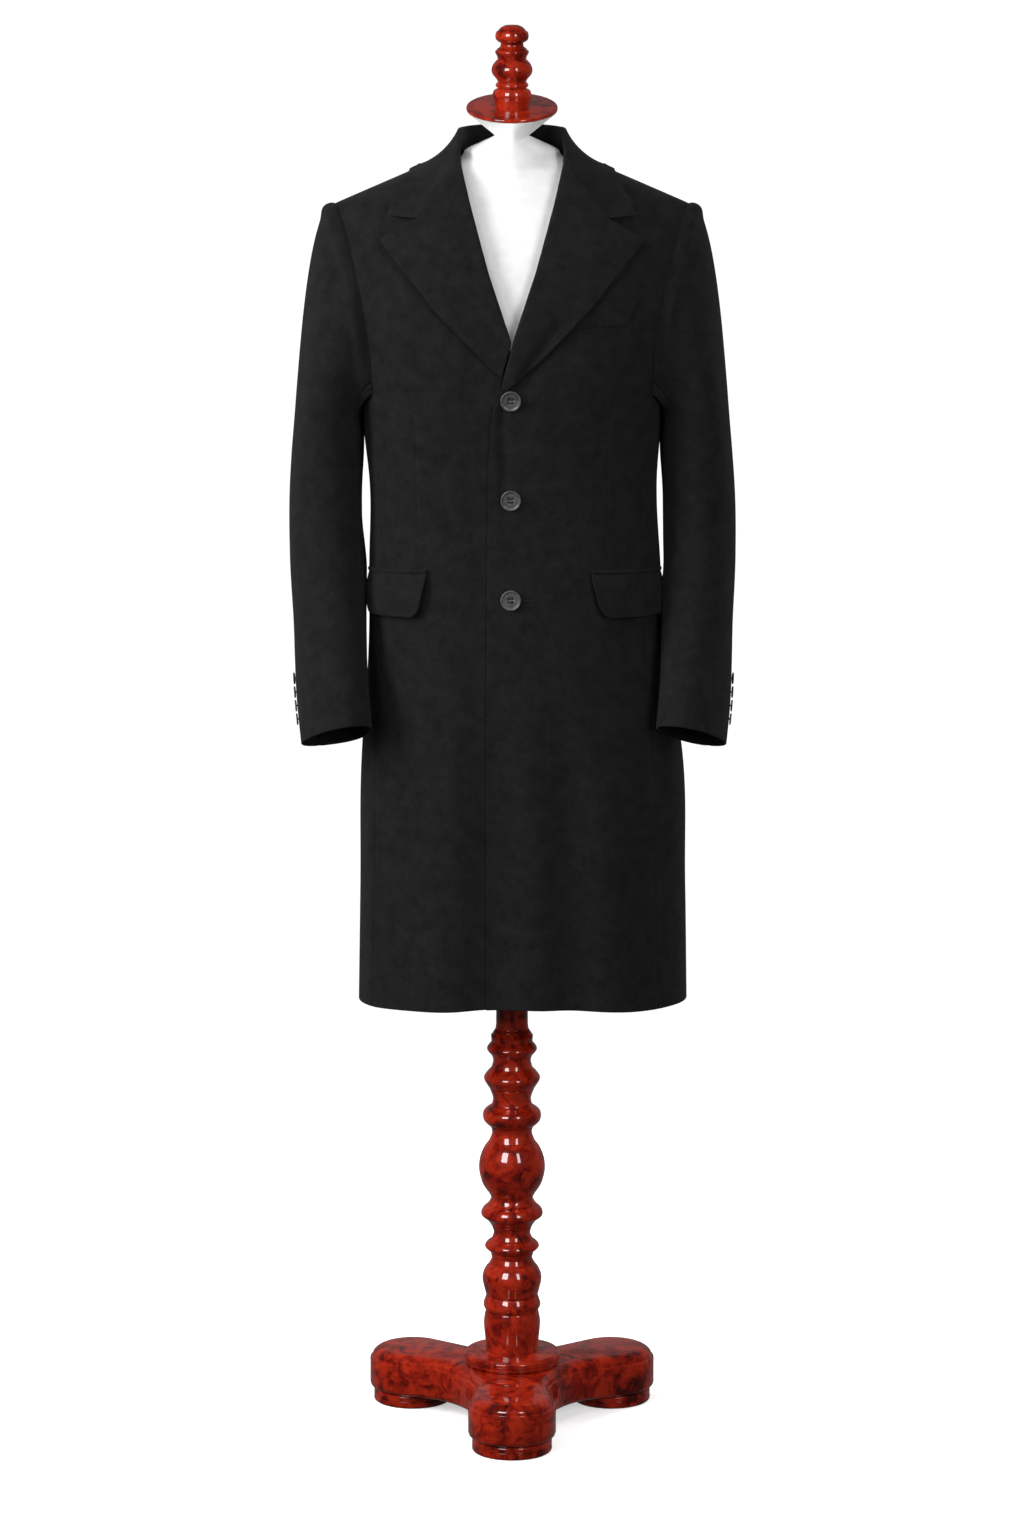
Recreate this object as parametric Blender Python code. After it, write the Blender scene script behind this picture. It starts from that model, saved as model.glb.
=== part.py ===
"""Long notch lapel coat hanging on a limbless dress form with a turned stand.

Metres, Z up. The coat faces -Y and the wearer's left side is +X.
"""
import math

import bmesh
import bpy
import numpy as np
from mathutils import Vector
from mathutils.bvhtree import BVHTree

for item in list(bpy.data.objects):
    bpy.data.objects.remove(item, do_unlink=True)

# Place of the stand's axis and the fits between the pieces
AXIS_Y = 0.025
GAP = 0.0003
HALF_GAP = 0.00018
WALL = 0.0020
LAP_DEPTH = 0.0028
LAP_START_X = -0.075
LAP_FULL_X = -0.040
LAP_END_LEVELS = (1.50, 1.60)
TRIM_WALL = 0.0018

# Shoulder ridge
SHOULDER_X = 0.2185
SHOULDER_Z = 1.5470
SHOULDER_SLOPE = 0.43
YOKE_Z = 1.330
YOKE_SPAN = 0.300
YOKE_TOP = YOKE_Z + YOKE_SPAN
PLAN_POWER = 2.4

# Hem and armhole heights
HEM_SIDE_Z = 0.5480
HEM_FRONT_RISE = 0.0150
ARM_NOTCH_Z = 1.3180
ARM_DIP = 0.0150
NECK_POINT_X = 0.0690
BACK_NECK_DEPTH = 0.0600

# Rows and columns of the cloth grids
SEAM_ROWS = 12
FRONT_COLUMNS = 12
SIDE_COLUMNS = 4
BACK_COLUMNS = 4
NECK_COLUMNS = 4

# height, centre x, half width, front depth, back depth
BODY_LEVELS = [
    (0.545, 0.0135, 0.2030, 0.1420, 0.1440),
    (0.700, 0.0135, 0.2005, 0.1390, 0.1420),
    (0.880, 0.0120, 0.1970, 0.1350, 0.1390),
    (0.950, 0.0085, 0.1890, 0.1320, 0.1350),
    (1.010, 0.0060, 0.1840, 0.1285, 0.1290),
    (1.110, 0.0033, 0.1805, 0.1225, 0.1160),
    (1.180, 0.0020, 0.1775, 0.1200, 0.1070),
    (1.250, 0.0005, 0.1800, 0.1225, 0.1090),
    (1.305, 0.0000, 0.1840, 0.1275, 0.1160),
    (1.340, 0.0000, 0.1900, 0.1305, 0.1210),
    (1.380, 0.0000, 0.2050, 0.1325, 0.1245),
    (1.420, 0.0000, 0.2205, 0.1330, 0.1260),
    (1.470, 0.0000, 0.2255, 0.1330, 0.1260),
    (1.630, 0.0000, 0.2350, 0.1330, 0.1260),
]

# height, x of the front edge of the lapping front below the roll line
FRONT_EDGE = [
    (0.545, -0.0316),
    (1.026, -0.0300),
    (1.141, -0.0294),
    (1.212, -0.0283),
    (1.265, -0.0266),
    (1.299, -0.0235),
    (1.318, -0.0180),
]

# height, x of the fold of the lapel
ROLL_LINE = [
    (1.3270, -0.0140),
    (1.3564, -0.0080),
    (1.4000, 0.0035),
    (1.4743, 0.0285),
    (1.5547, 0.0510),
    (1.5985, 0.0616),
]

# height, x of the outer edge of the lapel from its point down to the break
LAPEL_EDGE = [
    (1.5085, 0.1568),
    (1.5035, 0.1545),
    (1.4570, 0.1150),
    (1.4325, 0.0962),
    (1.3966, 0.0610),
    (1.3612, 0.0265),
    (1.3379, -0.0012),
    (1.3290, -0.0110),
]
LAPEL_NOTCH = (1.5328, 0.1148)

# x and height of the armhole seam in front and behind, from the notch up to the shoulder
ARM_FRONT = [
    (0.1715, 1.3180),
    (0.1722, 1.3400),
    (0.1775, 1.3800),
    (0.1860, 1.4400),
    (0.1970, 1.4920),
    (0.2090, 1.5330),
]
ARM_BACK = [
    (0.1735, 1.3180),
    (0.1755, 1.3400),
    (0.1825, 1.3850),
    (0.1905, 1.4400),
    (0.1995, 1.4920),
    (0.2095, 1.5310),
]

# height, plan angle in degrees of the two long side seams
SEAM_LEFT_FRONT = [(0.545, 61.5), (0.890, 62.0), (1.100, 66.0), (1.3180, 71.5)]
SEAM_RIGHT_FRONT = [(0.545, 70.0), (0.890, 69.0), (1.100, 69.5), (1.3180, 71.5)]
SEAM_BACK = [(0.545, 112.0), (0.890, 113.0), (1.100, 116.0), (1.3180, 107.5)]

# height, centre x, centre y from the axis, half width seen from the front, half depth, turn
SLEEVE_LEVELS = [
    (1.2900, 0.2285, 0.0020, 0.0400, 0.0740, 0.0),
    (1.2400, 0.2300, 0.0030, 0.0425, 0.0690, 2.0),
    (1.1800, 0.2312, 0.0000, 0.0445, 0.0640, 6.0),
    (1.1200, 0.2316, -0.0090, 0.0445, 0.0605, 12.0),
    (1.0600, 0.2308, -0.0260, 0.0440, 0.0585, 18.0),
    (1.0000, 0.2286, -0.0470, 0.0436, 0.0565, 25.0),
    (0.9450, 0.2260, -0.0710, 0.0434, 0.0545, 31.0),
    (0.8960, 0.2212, -0.0900, 0.0430, 0.0525, 34.0),
]
SLEEVE_CAP_ROWS = 6
SLEEVE_ARM_ROWS = 9
SLEEVE_CAP_REACH = 0.34
CUFF_TILT_Y = -0.30
CUFF_TILT_X = -0.16
SLEEVE_POWER = 2.15
SLEEVE_TWIST = 18.0
ARMHOLE_INSET = 0.0002
ARMHOLE_OUTSET = 0.0004
CUFF_TILT_FROM_Z = 1.20
CUFF_TILT_FULL_Z = 0.90

# Folds of the collar and lapel
ROLL_RADIUS = 0.0045
ROLL_RADIUS_LOW = 0.0027
ROLL_SEAT = 0.0009
COLLAR_RADIUS = 0.0034
LAPEL_LIFT = 0.0009
LAPEL_SPRING = 0.022
LAPEL_ROWS = 11
# height where the fold and the outer edge of each lapel end
LAPEL_ENDS = {"left": (1.3350, 1.3340), "right": (1.3905, 1.3500)}
COLLAR_COLUMNS = 10
RIDGE_SHARE = 0.60
STAND_INSET = 0.0015
GORGE_GAP = 0.0009
STAND_RAISE = 0.0006
FALL_CLEAR = 0.0054

# share of the way from the centre back to the gorge, x, height of the collar's outer edge
COLLAR_EDGE = [
    (0.00, 0.0000, 1.5820),
    (0.20, 0.0450, 1.5800),
    (0.40, 0.0850, 1.5790),
    (0.50, 0.1020, 1.5860),
    (0.60, 0.1165, 1.5980),
    (0.70, 0.1270, 1.5820),
    (0.80, 0.1370, 1.5620),
    (0.90, 0.1440, 1.5480),
    (1.00, 0.1480, 1.5351),
]

# share, x, y from the axis, height of the collar's fold
COLLAR_FOLD = [
    (0.00, 0.0000, 0.0610, 1.6400),
    (0.20, 0.0340, 0.0530, 1.6395),
    (0.40, 0.0570, 0.0300, 1.6385),
    (0.60, 0.0622, -0.0020, 1.6370),
    (0.80, 0.0630, -0.0270, 1.6215),
]

# height, half width, front depth, back depth, roundness of the form
FORM_LEVELS = [
    (0.8000, 0.1480, 0.1040, 0.1120, 2.25),
    (0.8060, 0.1560, 0.1090, 0.1180, 2.25),
    (0.8500, 0.1640, 0.1120, 0.1210, 2.25),
    (0.9300, 0.1650, 0.1130, 0.1180, 2.25),
    (1.0200, 0.1580, 0.1060, 0.1060, 2.25),
    (1.1000, 0.1470, 0.0990, 0.0920, 2.25),
    (1.1700, 0.1410, 0.0970, 0.0860, 2.25),
    (1.2400, 0.1480, 0.1030, 0.0910, 2.25),
    (1.3100, 0.1590, 0.1120, 0.0990, 2.25),
    (1.3800, 0.1720, 0.1180, 0.1060, 2.25),
    (1.4400, 0.1820, 0.1130, 0.1030, 2.20),
    (1.4900, 0.1900, 0.1010, 0.0940, 2.10),
    (1.5200, 0.1900, 0.0900, 0.0850, 2.00),
    (1.5400, 0.1870, 0.0800, 0.0770, 1.85),
    (1.5540, 0.1790, 0.0725, 0.0700, 1.70),
    (1.5660, 0.1700, 0.0665, 0.0650, 1.60),
    (1.5780, 0.1450, 0.0620, 0.0600, 1.50),
    (1.5880, 0.1180, 0.0585, 0.0565, 1.50),
    (1.5950, 0.0900, 0.0565, 0.0545, 1.60),
    (1.6020, 0.0670, 0.0560, 0.0535, 1.85),
    (1.6120, 0.0580, 0.0555, 0.0530, 2.00),
    (1.6300, 0.0560, 0.0555, 0.0530, 2.00),
]
FORM_SEGMENTS = 24
# distance between the coat and the form's shoulders, which carry it
SHOULDER_SEAT = 0.0004

# Neck cap, set leaning forward
CAP_Z = 1.6640
CAP_LEAN = math.radians(13.0)
CAP_RADIUS = 0.0560
CAP_THICK = 0.0040
CAP_CENTRE_BACK = 0.0012
CAP_SEGMENTS = 20
# share of the thickness from the middle, share of the radius
CAP_PROFILE = [(-0.5, 0.985), (-0.15, 1.0), (0.2, 1.0), (0.5, 0.965)]

# Turned work: height, radius
FINIAL_PROFILE = [
    (1.6670, 0.0205), (1.6740, 0.0222), (1.6790, 0.0238), (1.6850, 0.0226),
    (1.6882, 0.0180), (1.6919, 0.0202), (1.6960, 0.0177), (1.6992, 0.0190),
    (1.7053, 0.0239), (1.7114, 0.0251), (1.7175, 0.0229), (1.7236, 0.0177),
    (1.7272, 0.0183), (1.7321, 0.0208), (1.7357, 0.0183), (1.7394, 0.0143),
    (1.7430, 0.0141), (1.7470, 0.0192), (1.7515, 0.0204), (1.7560, 0.0196),
    (1.7588, 0.0168), (1.7625, 0.0130), (1.7649, 0.0079),
]
COLUMN_PROFILE = [
    (0.0860, 0.0585), (0.0885, 0.0345), (0.0990, 0.0338), (0.1173, 0.0356),
    (0.1279, 0.0356), (0.1398, 0.0334), (0.1477, 0.0362), (0.1595, 0.0327),
    (0.1812, 0.0375), (0.1937, 0.0343), (0.2016, 0.0286),
    (0.2082, 0.0254), (0.2161, 0.0273), (0.2226, 0.0340), (0.2279, 0.0324),
    (0.2331, 0.0260), (0.2410, 0.0232), (0.2502, 0.0254), (0.2580, 0.0311),
    (0.2646, 0.0387), (0.2724, 0.0374), (0.2790, 0.0304), (0.2868, 0.0266),
    (0.2934, 0.0291), (0.3025, 0.0355), (0.3117, 0.0393), (0.3248, 0.0418),
    (0.3391, 0.0405), (0.3522, 0.0354), (0.3613, 0.0288), (0.3717, 0.0253),
    (0.3795, 0.0266), (0.3873, 0.0348), (0.3952, 0.0367), (0.4017, 0.0341),
    (0.4082, 0.0253), (0.4173, 0.0240), (0.4290, 0.0278),
    (0.4420, 0.0353), (0.4498, 0.0319), (0.4562, 0.0259), (0.4653, 0.0237),
    (0.4718, 0.0252), (0.4809, 0.0315), (0.4900, 0.0258), (0.4977, 0.0265),
    (0.5068, 0.0208), (0.5275, 0.0200), (0.7700, 0.0200),
]
COLUMN_SEGMENTS = 16
FLANGE_Z = 0.0703
FLANGE_RADIUS = 0.0610
PLATE_TOP_Z = 0.7997
PLATE_RADIUS = 0.0550

# Three-legged base
LEG_REACH = 0.1470
LEG_RADIUS = 0.0550
LEG_ARC = math.radians(96.0)
WAIST_CLEAR = 0.0720
BASE_TOP_Z = 0.0700
FOOT_RADIUS = 0.0500
FOOT_TOP_Z = 0.0265
# inset from the outline, height
BASE_EDGE = [
    (0.0080, 0.0268),
    (0.0000, 0.0340),
    (0.0000, 0.0560),
    (0.0030, 0.0590),
    (0.0034, 0.0615),
    (0.0085, 0.0675),
    (0.0160, BASE_TOP_Z),
]
# height, radius
FOOT_PROFILE = [
    (0.0000, 0.0480), (0.0030, 0.0500), (0.0110, 0.0500), (0.0130, 0.0480),
    (0.0150, 0.0500), (0.0230, 0.0500), (FOOT_TOP_Z, 0.0485),
]

# Front buttons on the lapping front, and the cuff buttons
BUTTON_X = -0.0015
BUTTON_HEIGHTS = [1.3195, 1.1960, 1.0732]
BUTTON_RADIUS = 0.0128
CUFF_BUTTON_RADIUS = 0.0074
CUFF_BUTTON_HEIGHTS = [0.9735, 0.9580, 0.9425, 0.9270]
CUFF_BUTTON_ANGLE = 40.0
BUTTON_LIFT = 0.0006
# place and radius of the thread holes as shares of the button's radius
HOLE_SPREAD = 0.17
HOLE_RADIUS = 0.075
# height, share of the button's radius, for the large button
BUTTON_PROFILE = [(0.0000, 0.84), (0.0014, 1.00), (0.0030, 0.99), (0.0038, 0.83), (0.0027, 0.62)]

# Pockets
FLAP_TOP_Z = 1.1035
FLAP_BOTTOM_Z = 1.0505
FLAP_INNER_X = {"left": 0.0970, "right": 0.1046}
FLAP_OUTER_ANGLE = 78.0
JET_TOP_Z = 1.1090
FLAP_ROWS = 3
FLAP_CLEAR = 0.0009
JET_WALL = 0.0012
JET_GAP = 0.0006
FLAP_COLUMNS = 12
FLAP_LENGTH = 0.125
FLAP_CORNER = 0.0130
FLAP_SLANT = 0.0030
WELT_COLUMNS = 5
WELT_CLEAR = 0.0005
# x and height of the welt's corners, from its upper inner one round
WELT_CORNERS = [(0.0985, 1.4343), (0.1555, 1.4399), (0.1378, 1.4094), (0.0754, 1.4082)]


def material(name, colour, roughness):
    """Plain surface for one kind of piece."""
    made = bpy.data.materials.new(name)
    made.use_nodes = True
    shader = made.node_tree.nodes["Principled BSDF"]
    shader.inputs["Base Color"].default_value = (*colour, 1.0)
    shader.inputs["Roughness"].default_value = roughness
    return made


CLOTH = material("wool_cloth", (0.017, 0.017, 0.016), 0.9)
HORN = material("horn_button", (0.10, 0.098, 0.096), 0.45)
COVER = material("form_cover", (0.80, 0.80, 0.79), 0.7)
LACQUER = material("lacquered_wood", (0.21, 0.016, 0.008), 0.22)


def smooth_table(table, at):
    """Values of a table at given places of its first column, on a smooth curve."""
    rows = np.array(table, dtype=float)
    knots, values = rows[:, 0], rows[:, 1:]
    steps = np.diff(knots)
    secants = np.diff(values, axis=0) / steps[:, None]
    slopes = np.empty_like(values)
    slopes[0], slopes[-1] = secants[0], secants[-1]
    before, after = steps[:-1, None], steps[1:, None]
    slopes[1:-1] = (secants[:-1] * after + secants[1:] * before) / (before + after)
    at = np.clip(np.asarray(at, dtype=float), knots[0], knots[-1])
    index = np.clip(np.searchsorted(knots, at, side="right") - 1, 0, len(steps) - 1)
    width = steps[index]
    part = ((at - knots[index]) / width)[..., None]
    width = width[..., None]
    start = (1 + 2 * part) * (1 - part) ** 2
    lean_start = part * (1 - part) ** 2
    end = part ** 2 * (3 - 2 * part)
    lean_end = part ** 2 * (part - 1)
    return (start * values[index] + lean_start * width * slopes[index]
            + end * values[index + 1] + lean_end * width * slopes[index + 1])


def ease(low, high, at):
    """Soft step from 0 at low to 1 at high; low may be the larger."""
    share = np.clip((np.asarray(at, dtype=float) - low) / (high - low), 0.0, 1.0)
    return share * share * (3.0 - 2.0 * share)


def ridge_z(x):
    """Height of the shoulder ridge over a place on the X axis."""
    return SHOULDER_Z + (SHOULDER_X - np.abs(x)) * SHOULDER_SLOPE


def body(angle, level):
    """Outer face of the coat's body at a plan angle (0 in front) and a level."""
    angle, level = np.broadcast_arrays(np.asarray(angle, float), np.asarray(level, float))
    sizes = smooth_table(BODY_LEVELS, level)
    centre, half, front, back = np.moveaxis(sizes, -1, 0)
    depth = np.where(np.cos(angle) > 0, front, back)
    reach = (np.abs(np.sin(angle) / half) ** PLAN_POWER
             + np.abs(np.cos(angle) / depth) ** PLAN_POWER) ** (-1.0 / PLAN_POWER)
    turn = np.clip((level - YOKE_Z) / YOKE_SPAN, 0.0, 1.0) * math.pi / 2
    x = centre + reach * np.sin(angle)
    y = AXIS_Y - reach * np.cos(angle) * np.cos(turn)
    z = np.where(level < YOKE_Z, level, YOKE_Z + (ridge_z(x) - YOKE_Z) * np.sin(turn))
    return np.stack([x, y, z], axis=-1)


def body_out(angle, level):
    """Unit vectors that point out of the coat's body."""
    small_angle, small_level = 0.004, 0.0015
    level = np.minimum(np.asarray(level, float), YOKE_TOP - small_level)
    across = body(np.add(angle, small_angle), level) - body(np.subtract(angle, small_angle), level)
    along = body(angle, level + small_level) - body(angle, level - small_level)
    out = np.cross(across, along)
    return out / np.linalg.norm(out, axis=-1, keepdims=True)


def level_at(x, z):
    """Level of a place given by x and height."""
    rise = np.clip((np.asarray(z) - YOKE_Z) / (ridge_z(x) - YOKE_Z), 0.0, 1.0)
    return np.where(np.asarray(z) < YOKE_Z, z, YOKE_Z + YOKE_SPAN * np.arcsin(rise) / (math.pi / 2))


def angle_at(x, level, behind=False):
    """Plan angle of a place given by x and level."""
    centre, half, front, back = np.moveaxis(smooth_table(BODY_LEVELS, level), -1, 0)
    depth = back if behind else front
    across = np.clip((x - centre) / half, -1.0, 1.0)
    deep = (1.0 - np.abs(across) ** PLAN_POWER) ** (1.0 / PLAN_POWER)
    angle = np.arctan2(half * across, depth * deep)
    if behind:
        angle = np.where(angle < 0, -math.pi - angle, math.pi - angle)
    return angle


def at_place(x, z, behind=False):
    """Point and outward direction on the body at x and height."""
    level = level_at(x, z)
    angle = angle_at(x, level, behind)
    return body(angle, level), body_out(angle, level)


def grid_out(grid, around=False):
    """Unit vectors square to a grid of points."""
    if around:
        across = np.roll(grid, -1, axis=1) - np.roll(grid, 1, axis=1)
    else:
        across = np.gradient(grid, axis=1)
    along = np.gradient(grid, axis=0)
    out = np.cross(across, along)
    return out / np.maximum(np.linalg.norm(out, axis=-1, keepdims=True), 1e-12)


def make_object(name, points, faces, surface):
    """Closed body with its normals facing out."""
    mesh = bpy.data.meshes.new(name)
    mesh.from_pydata([tuple(map(float, point)) for point in points], [], faces)
    work = bmesh.new()
    work.from_mesh(mesh)
    bmesh.ops.recalc_face_normals(work, faces=work.faces)
    work.to_mesh(mesh)
    work.free()
    mesh.materials.append(surface)
    made = bpy.data.objects.new(name, mesh)
    bpy.context.scene.collection.objects.link(made)
    return made


def shell(name, face, out, wall, surface=CLOTH):
    """Cloth wall between a grid of face points and the same grid moved in by the wall."""
    rows, columns = face.shape[:2]
    count = rows * columns
    points = np.concatenate([face.reshape(-1, 3), (face - out * wall).reshape(-1, 3)])
    index = np.arange(count).reshape(rows, columns)
    faces = []
    for row in range(rows - 1):
        for column in range(columns - 1):
            near, right = index[row, column], index[row, column + 1]
            over, far = index[row + 1, column + 1], index[row + 1, column]
            for corners in ((near, right, over), (near, over, far)):
                faces.append(tuple(int(corner) for corner in corners))
                faces.append(tuple(int(corner) + count for corner in corners[::-1]))
    rim = list(index[0, :]) + list(index[1:, -1]) + list(index[-1, -2::-1]) + list(index[-2:0:-1, 0])
    for here, after in zip(rim, rim[1:] + rim[:1]):
        faces.append((int(here), int(here) + count, int(after) + count, int(after)))
    return make_object(name, points, faces, surface)


def trim_edges(grid, amount=HALF_GAP, sides="lrtb"):
    """Draw the edges of a grid in, so that a seam keeps its gap."""
    made = grid.copy()

    def drawn(edge, inner):
        step = inner - edge
        return edge + step / np.linalg.norm(step, axis=-1, keepdims=True) * amount

    if "l" in sides:
        made[:, 0] = drawn(made[:, 0], made[:, 1])
    if "r" in sides:
        made[:, -1] = drawn(made[:, -1], made[:, -2])
    if "b" in sides:
        made[0] = drawn(made[0], made[1])
    if "t" in sides:
        made[-1] = drawn(made[-1], made[-2])
    return made


def lathe(name, profile, segments, centre, surface, lean=0.0, bottom_lean=0.0):
    """Turned piece; its last or first ring may follow a leaning plane."""
    points, faces = [], []
    for order, (height, radius) in enumerate(profile):
        for step in range(segments):
            turn = 2 * math.pi * step / segments
            x, y = radius * math.sin(turn), -radius * math.cos(turn)
            tilt = bottom_lean if order == 0 else lean if order == len(profile) - 1 else 0.0
            points.append((centre[0] + x, centre[1] + y, height + y * math.tan(tilt)))
    for ring in range(len(profile) - 1):
        base = ring * segments
        for step in range(segments):
            after = (step + 1) % segments
            faces.append((base + step, base + after, base + segments + after, base + segments + step))
    faces.append(tuple(range(segments)))
    faces.append(tuple(range(len(points) - 1, len(points) - 1 - segments, -1)))
    return make_object(name, points, faces, surface)


# Rows shared by all body panels, so that the seams match
SEAM_LEVELS = np.linspace(0.0, 1.0, SEAM_ROWS)
YOKE_LEVELS = np.array([0.045, 0.13, 0.22, 0.32, 0.42, 0.52, 0.62, 0.72, 0.82, 0.91, 1.0])


def hem_z(angle):
    """Height of the hem, a little higher in front."""
    return HEM_SIDE_Z + HEM_FRONT_RISE * np.clip(np.cos(angle), 0.0, 1.0) ** 1.5


def row_levels(angle):
    """Levels of the rows of a panel at one plan angle, from the hem to the shoulder."""
    start = hem_z(angle)
    lower = start + (ARM_NOTCH_Z - start) * SEAM_LEVELS
    upper = ARM_NOTCH_Z + (YOKE_TOP - ARM_NOTCH_Z) * YOKE_LEVELS
    return np.concatenate([lower, upper])


def roll_radius(z):
    """Radius of the lapel's fold, tighter toward the break."""
    return ROLL_RADIUS_LOW + (ROLL_RADIUS - ROLL_RADIUS_LOW) * ease(1.330, 1.400, z)


def edge_table(side_points):
    """Level and x of an armhole edge up to the shoulder point."""
    table = [(float(level_at(x, z)), x) for x, z in side_points]
    return table + [(YOKE_TOP, SHOULDER_X)]


def centre_table():
    """Level and x of the front edge and, above the break, of the edge under the lapel."""
    table = list(FRONT_EDGE)
    for height, x in ROLL_LINE:
        edge_x = x + float(roll_radius(height)) + ROLL_SEAT
        table.append((float(level_at(edge_x, height)), edge_x))
    return table + [(YOKE_TOP, NECK_POINT_X)]


def neck_level(x):
    """Level of the neckline behind, rounded in plan round the neck."""
    share = np.clip(np.abs(x) / NECK_POINT_X, 0.0, 1.0)
    deep = BACK_NECK_DEPTH * np.sqrt(1.0 - share ** 2)
    turn = np.arccos(np.clip(deep / (BODY_LEVELS[-1][4] * 0.995), 0.0, 1.0))
    return YOKE_Z + YOKE_SPAN * turn / (math.pi / 2)


def seam_angle(table, level):
    """Plan angle of a long seam at a level, in radians."""
    return np.radians(smooth_table(table, level)[..., 0])


def front_panel(side):
    """Angles and levels of one front, side +1 for the wearer's left."""
    seam = SEAM_LEFT_FRONT if side > 0 else SEAM_RIGHT_FRONT
    guess = row_levels(0.4)
    edge_x = smooth_table(centre_table(), guess)[:, 0] * side
    inner = angle_at(edge_x, guess)
    arm_x = smooth_table(edge_table(ARM_FRONT), guess)[:, 0] * side
    outer = np.where(guess <= ARM_NOTCH_Z + 1e-9, side * seam_angle(seam, guess),
                     angle_at(arm_x, guess))
    notch = SEAM_ROWS - 1
    outer[:notch + 1] += (angle_at(arm_x[notch], guess[notch]) - outer[notch]) * ease(
        1.10, ARM_NOTCH_Z, guess[:notch + 1])
    share = np.linspace(0.0, 1.0, FRONT_COLUMNS + 1)
    angles = inner[:, None] + (outer - inner)[:, None] * share
    levels = np.stack([row_levels(angles[0, column]) for column in range(FRONT_COLUMNS + 1)], axis=1)
    return angles, levels


def back_panel(side):
    """Angles and levels of one back, from the side seam to the centre back."""
    guess = row_levels(2.0)
    arm_x = smooth_table(edge_table(ARM_BACK), guess)[:, 0] * side
    outer = np.where(guess <= ARM_NOTCH_Z + 1e-9, side * seam_angle(SEAM_BACK, guess),
                     angle_at(arm_x, guess, behind=True))
    notch = SEAM_ROWS - 1
    outer[:notch + 1] += (angle_at(arm_x[notch], guess[notch], behind=True) - outer[notch]) * ease(
        1.10, ARM_NOTCH_Z, guess[:notch + 1])
    neck = angle_at(np.full_like(guess, NECK_POINT_X * side), guess, behind=True)
    share = np.linspace(0.0, 1.0, BACK_COLUMNS + 1)
    wide = outer[:, None] + (neck - outer)[:, None] * share
    share = np.linspace(0.0, 1.0, NECK_COLUMNS + 1)[1:]
    middle = neck[:, None] + (side * math.pi - neck)[:, None] * share
    angles = np.concatenate([wide, middle], axis=1)
    levels = np.stack([row_levels(angles[0, column]) for column in range(angles.shape[1])], axis=1)
    dip = YOKE_TOP - neck_level(body(angles[-1], YOKE_TOP)[:, 0])
    upper = levels[SEAM_ROWS:]
    rise = (upper - ARM_NOTCH_Z) / (YOKE_TOP - ARM_NOTCH_Z)
    levels[SEAM_ROWS:] = upper - rise * dip[None, :]
    return angles, levels


def side_panel(front, back):
    """Angles and levels between the edges of a front and a back, up to the armhole."""
    first, last = front[0][:SEAM_ROWS, -1], back[0][:SEAM_ROWS, 0]
    share = np.linspace(0.0, 1.0, SIDE_COLUMNS + 1)
    angles = first[:, None] + (last - first)[:, None] * share
    low, high = front[1][:SEAM_ROWS, -1], back[1][:SEAM_ROWS, 0]
    levels = low[:, None] + (high - low)[:, None] * share
    dip = ARM_DIP * np.sin(math.pi * share)
    rise = ease(0.55, 1.0, SEAM_LEVELS)
    return angles, levels - rise[:, None] * dip[None, :]


def tuck(x, level):
    """How far the front that lies under is set in below the lapping front."""
    return LAP_DEPTH * ease(LAP_START_X, LAP_FULL_X, x) * (1.0 - ease(*LAP_END_LEVELS, level))


panels = {}
for side, word in ((1, "left"), (-1, "right")):
    front, back = front_panel(side), back_panel(side)
    panels[word] = {"front": front, "back": back, "side": side_panel(front, back)}

grids = {}
for side, word in ((1, "left"), (-1, "right")):
    for kind, (angles, levels) in panels[word].items():
        face, out = body(angles, levels), body_out(angles, levels)
        if kind == "front" and side < 0:
            face = face - out * tuck(face[..., 0], levels)[..., None]
        face = trim_edges(face, sides="lrt")
        grids[kind, word] = (face, out)

coat_objects = {}
for (kind, word), (face, out) in grids.items():
    label = {"front": "coat_front", "back": "coat_back", "side": "side_panel"}[kind]
    coat_objects[kind, word] = shell(f"{label}_{word}", face, out, WALL)


def hook(fold, into, up, radius, turn):
    """Point on the rounded fold of turned-out cloth; turn is 0 at the fold itself."""
    return (fold + into * radius * (1.0 - np.cos(turn))[..., None]
            + up * radius * np.sin(turn)[..., None])


def front_surface(x, z, side):
    """Face of a front panel at x and height, with its outward direction."""
    point, out = at_place(x, z)
    if side < 0:
        point = point - out * tuck(x, level_at(x, z))[..., None]
    return point, out


def polyline(points, share):
    """Places along a broken line at shares of its length."""
    points = np.array(points, dtype=float)
    lengths = np.concatenate([[0.0], np.cumsum(np.linalg.norm(np.diff(points, axis=0), axis=1))])
    at = np.asarray(share) * lengths[-1]
    return np.stack([np.interp(at, lengths, points[:, k]) for k in range(points.shape[1])], axis=-1)


def cut_line(table, end):
    """A line given from the top down, cut off at a height."""
    line = np.array(table, dtype=float)
    kept = line[line[:, 0] > end]
    last = np.interp(end, line[::-1, 0], line[::-1, 1])
    return np.vstack([kept, [end, last]])


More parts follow.
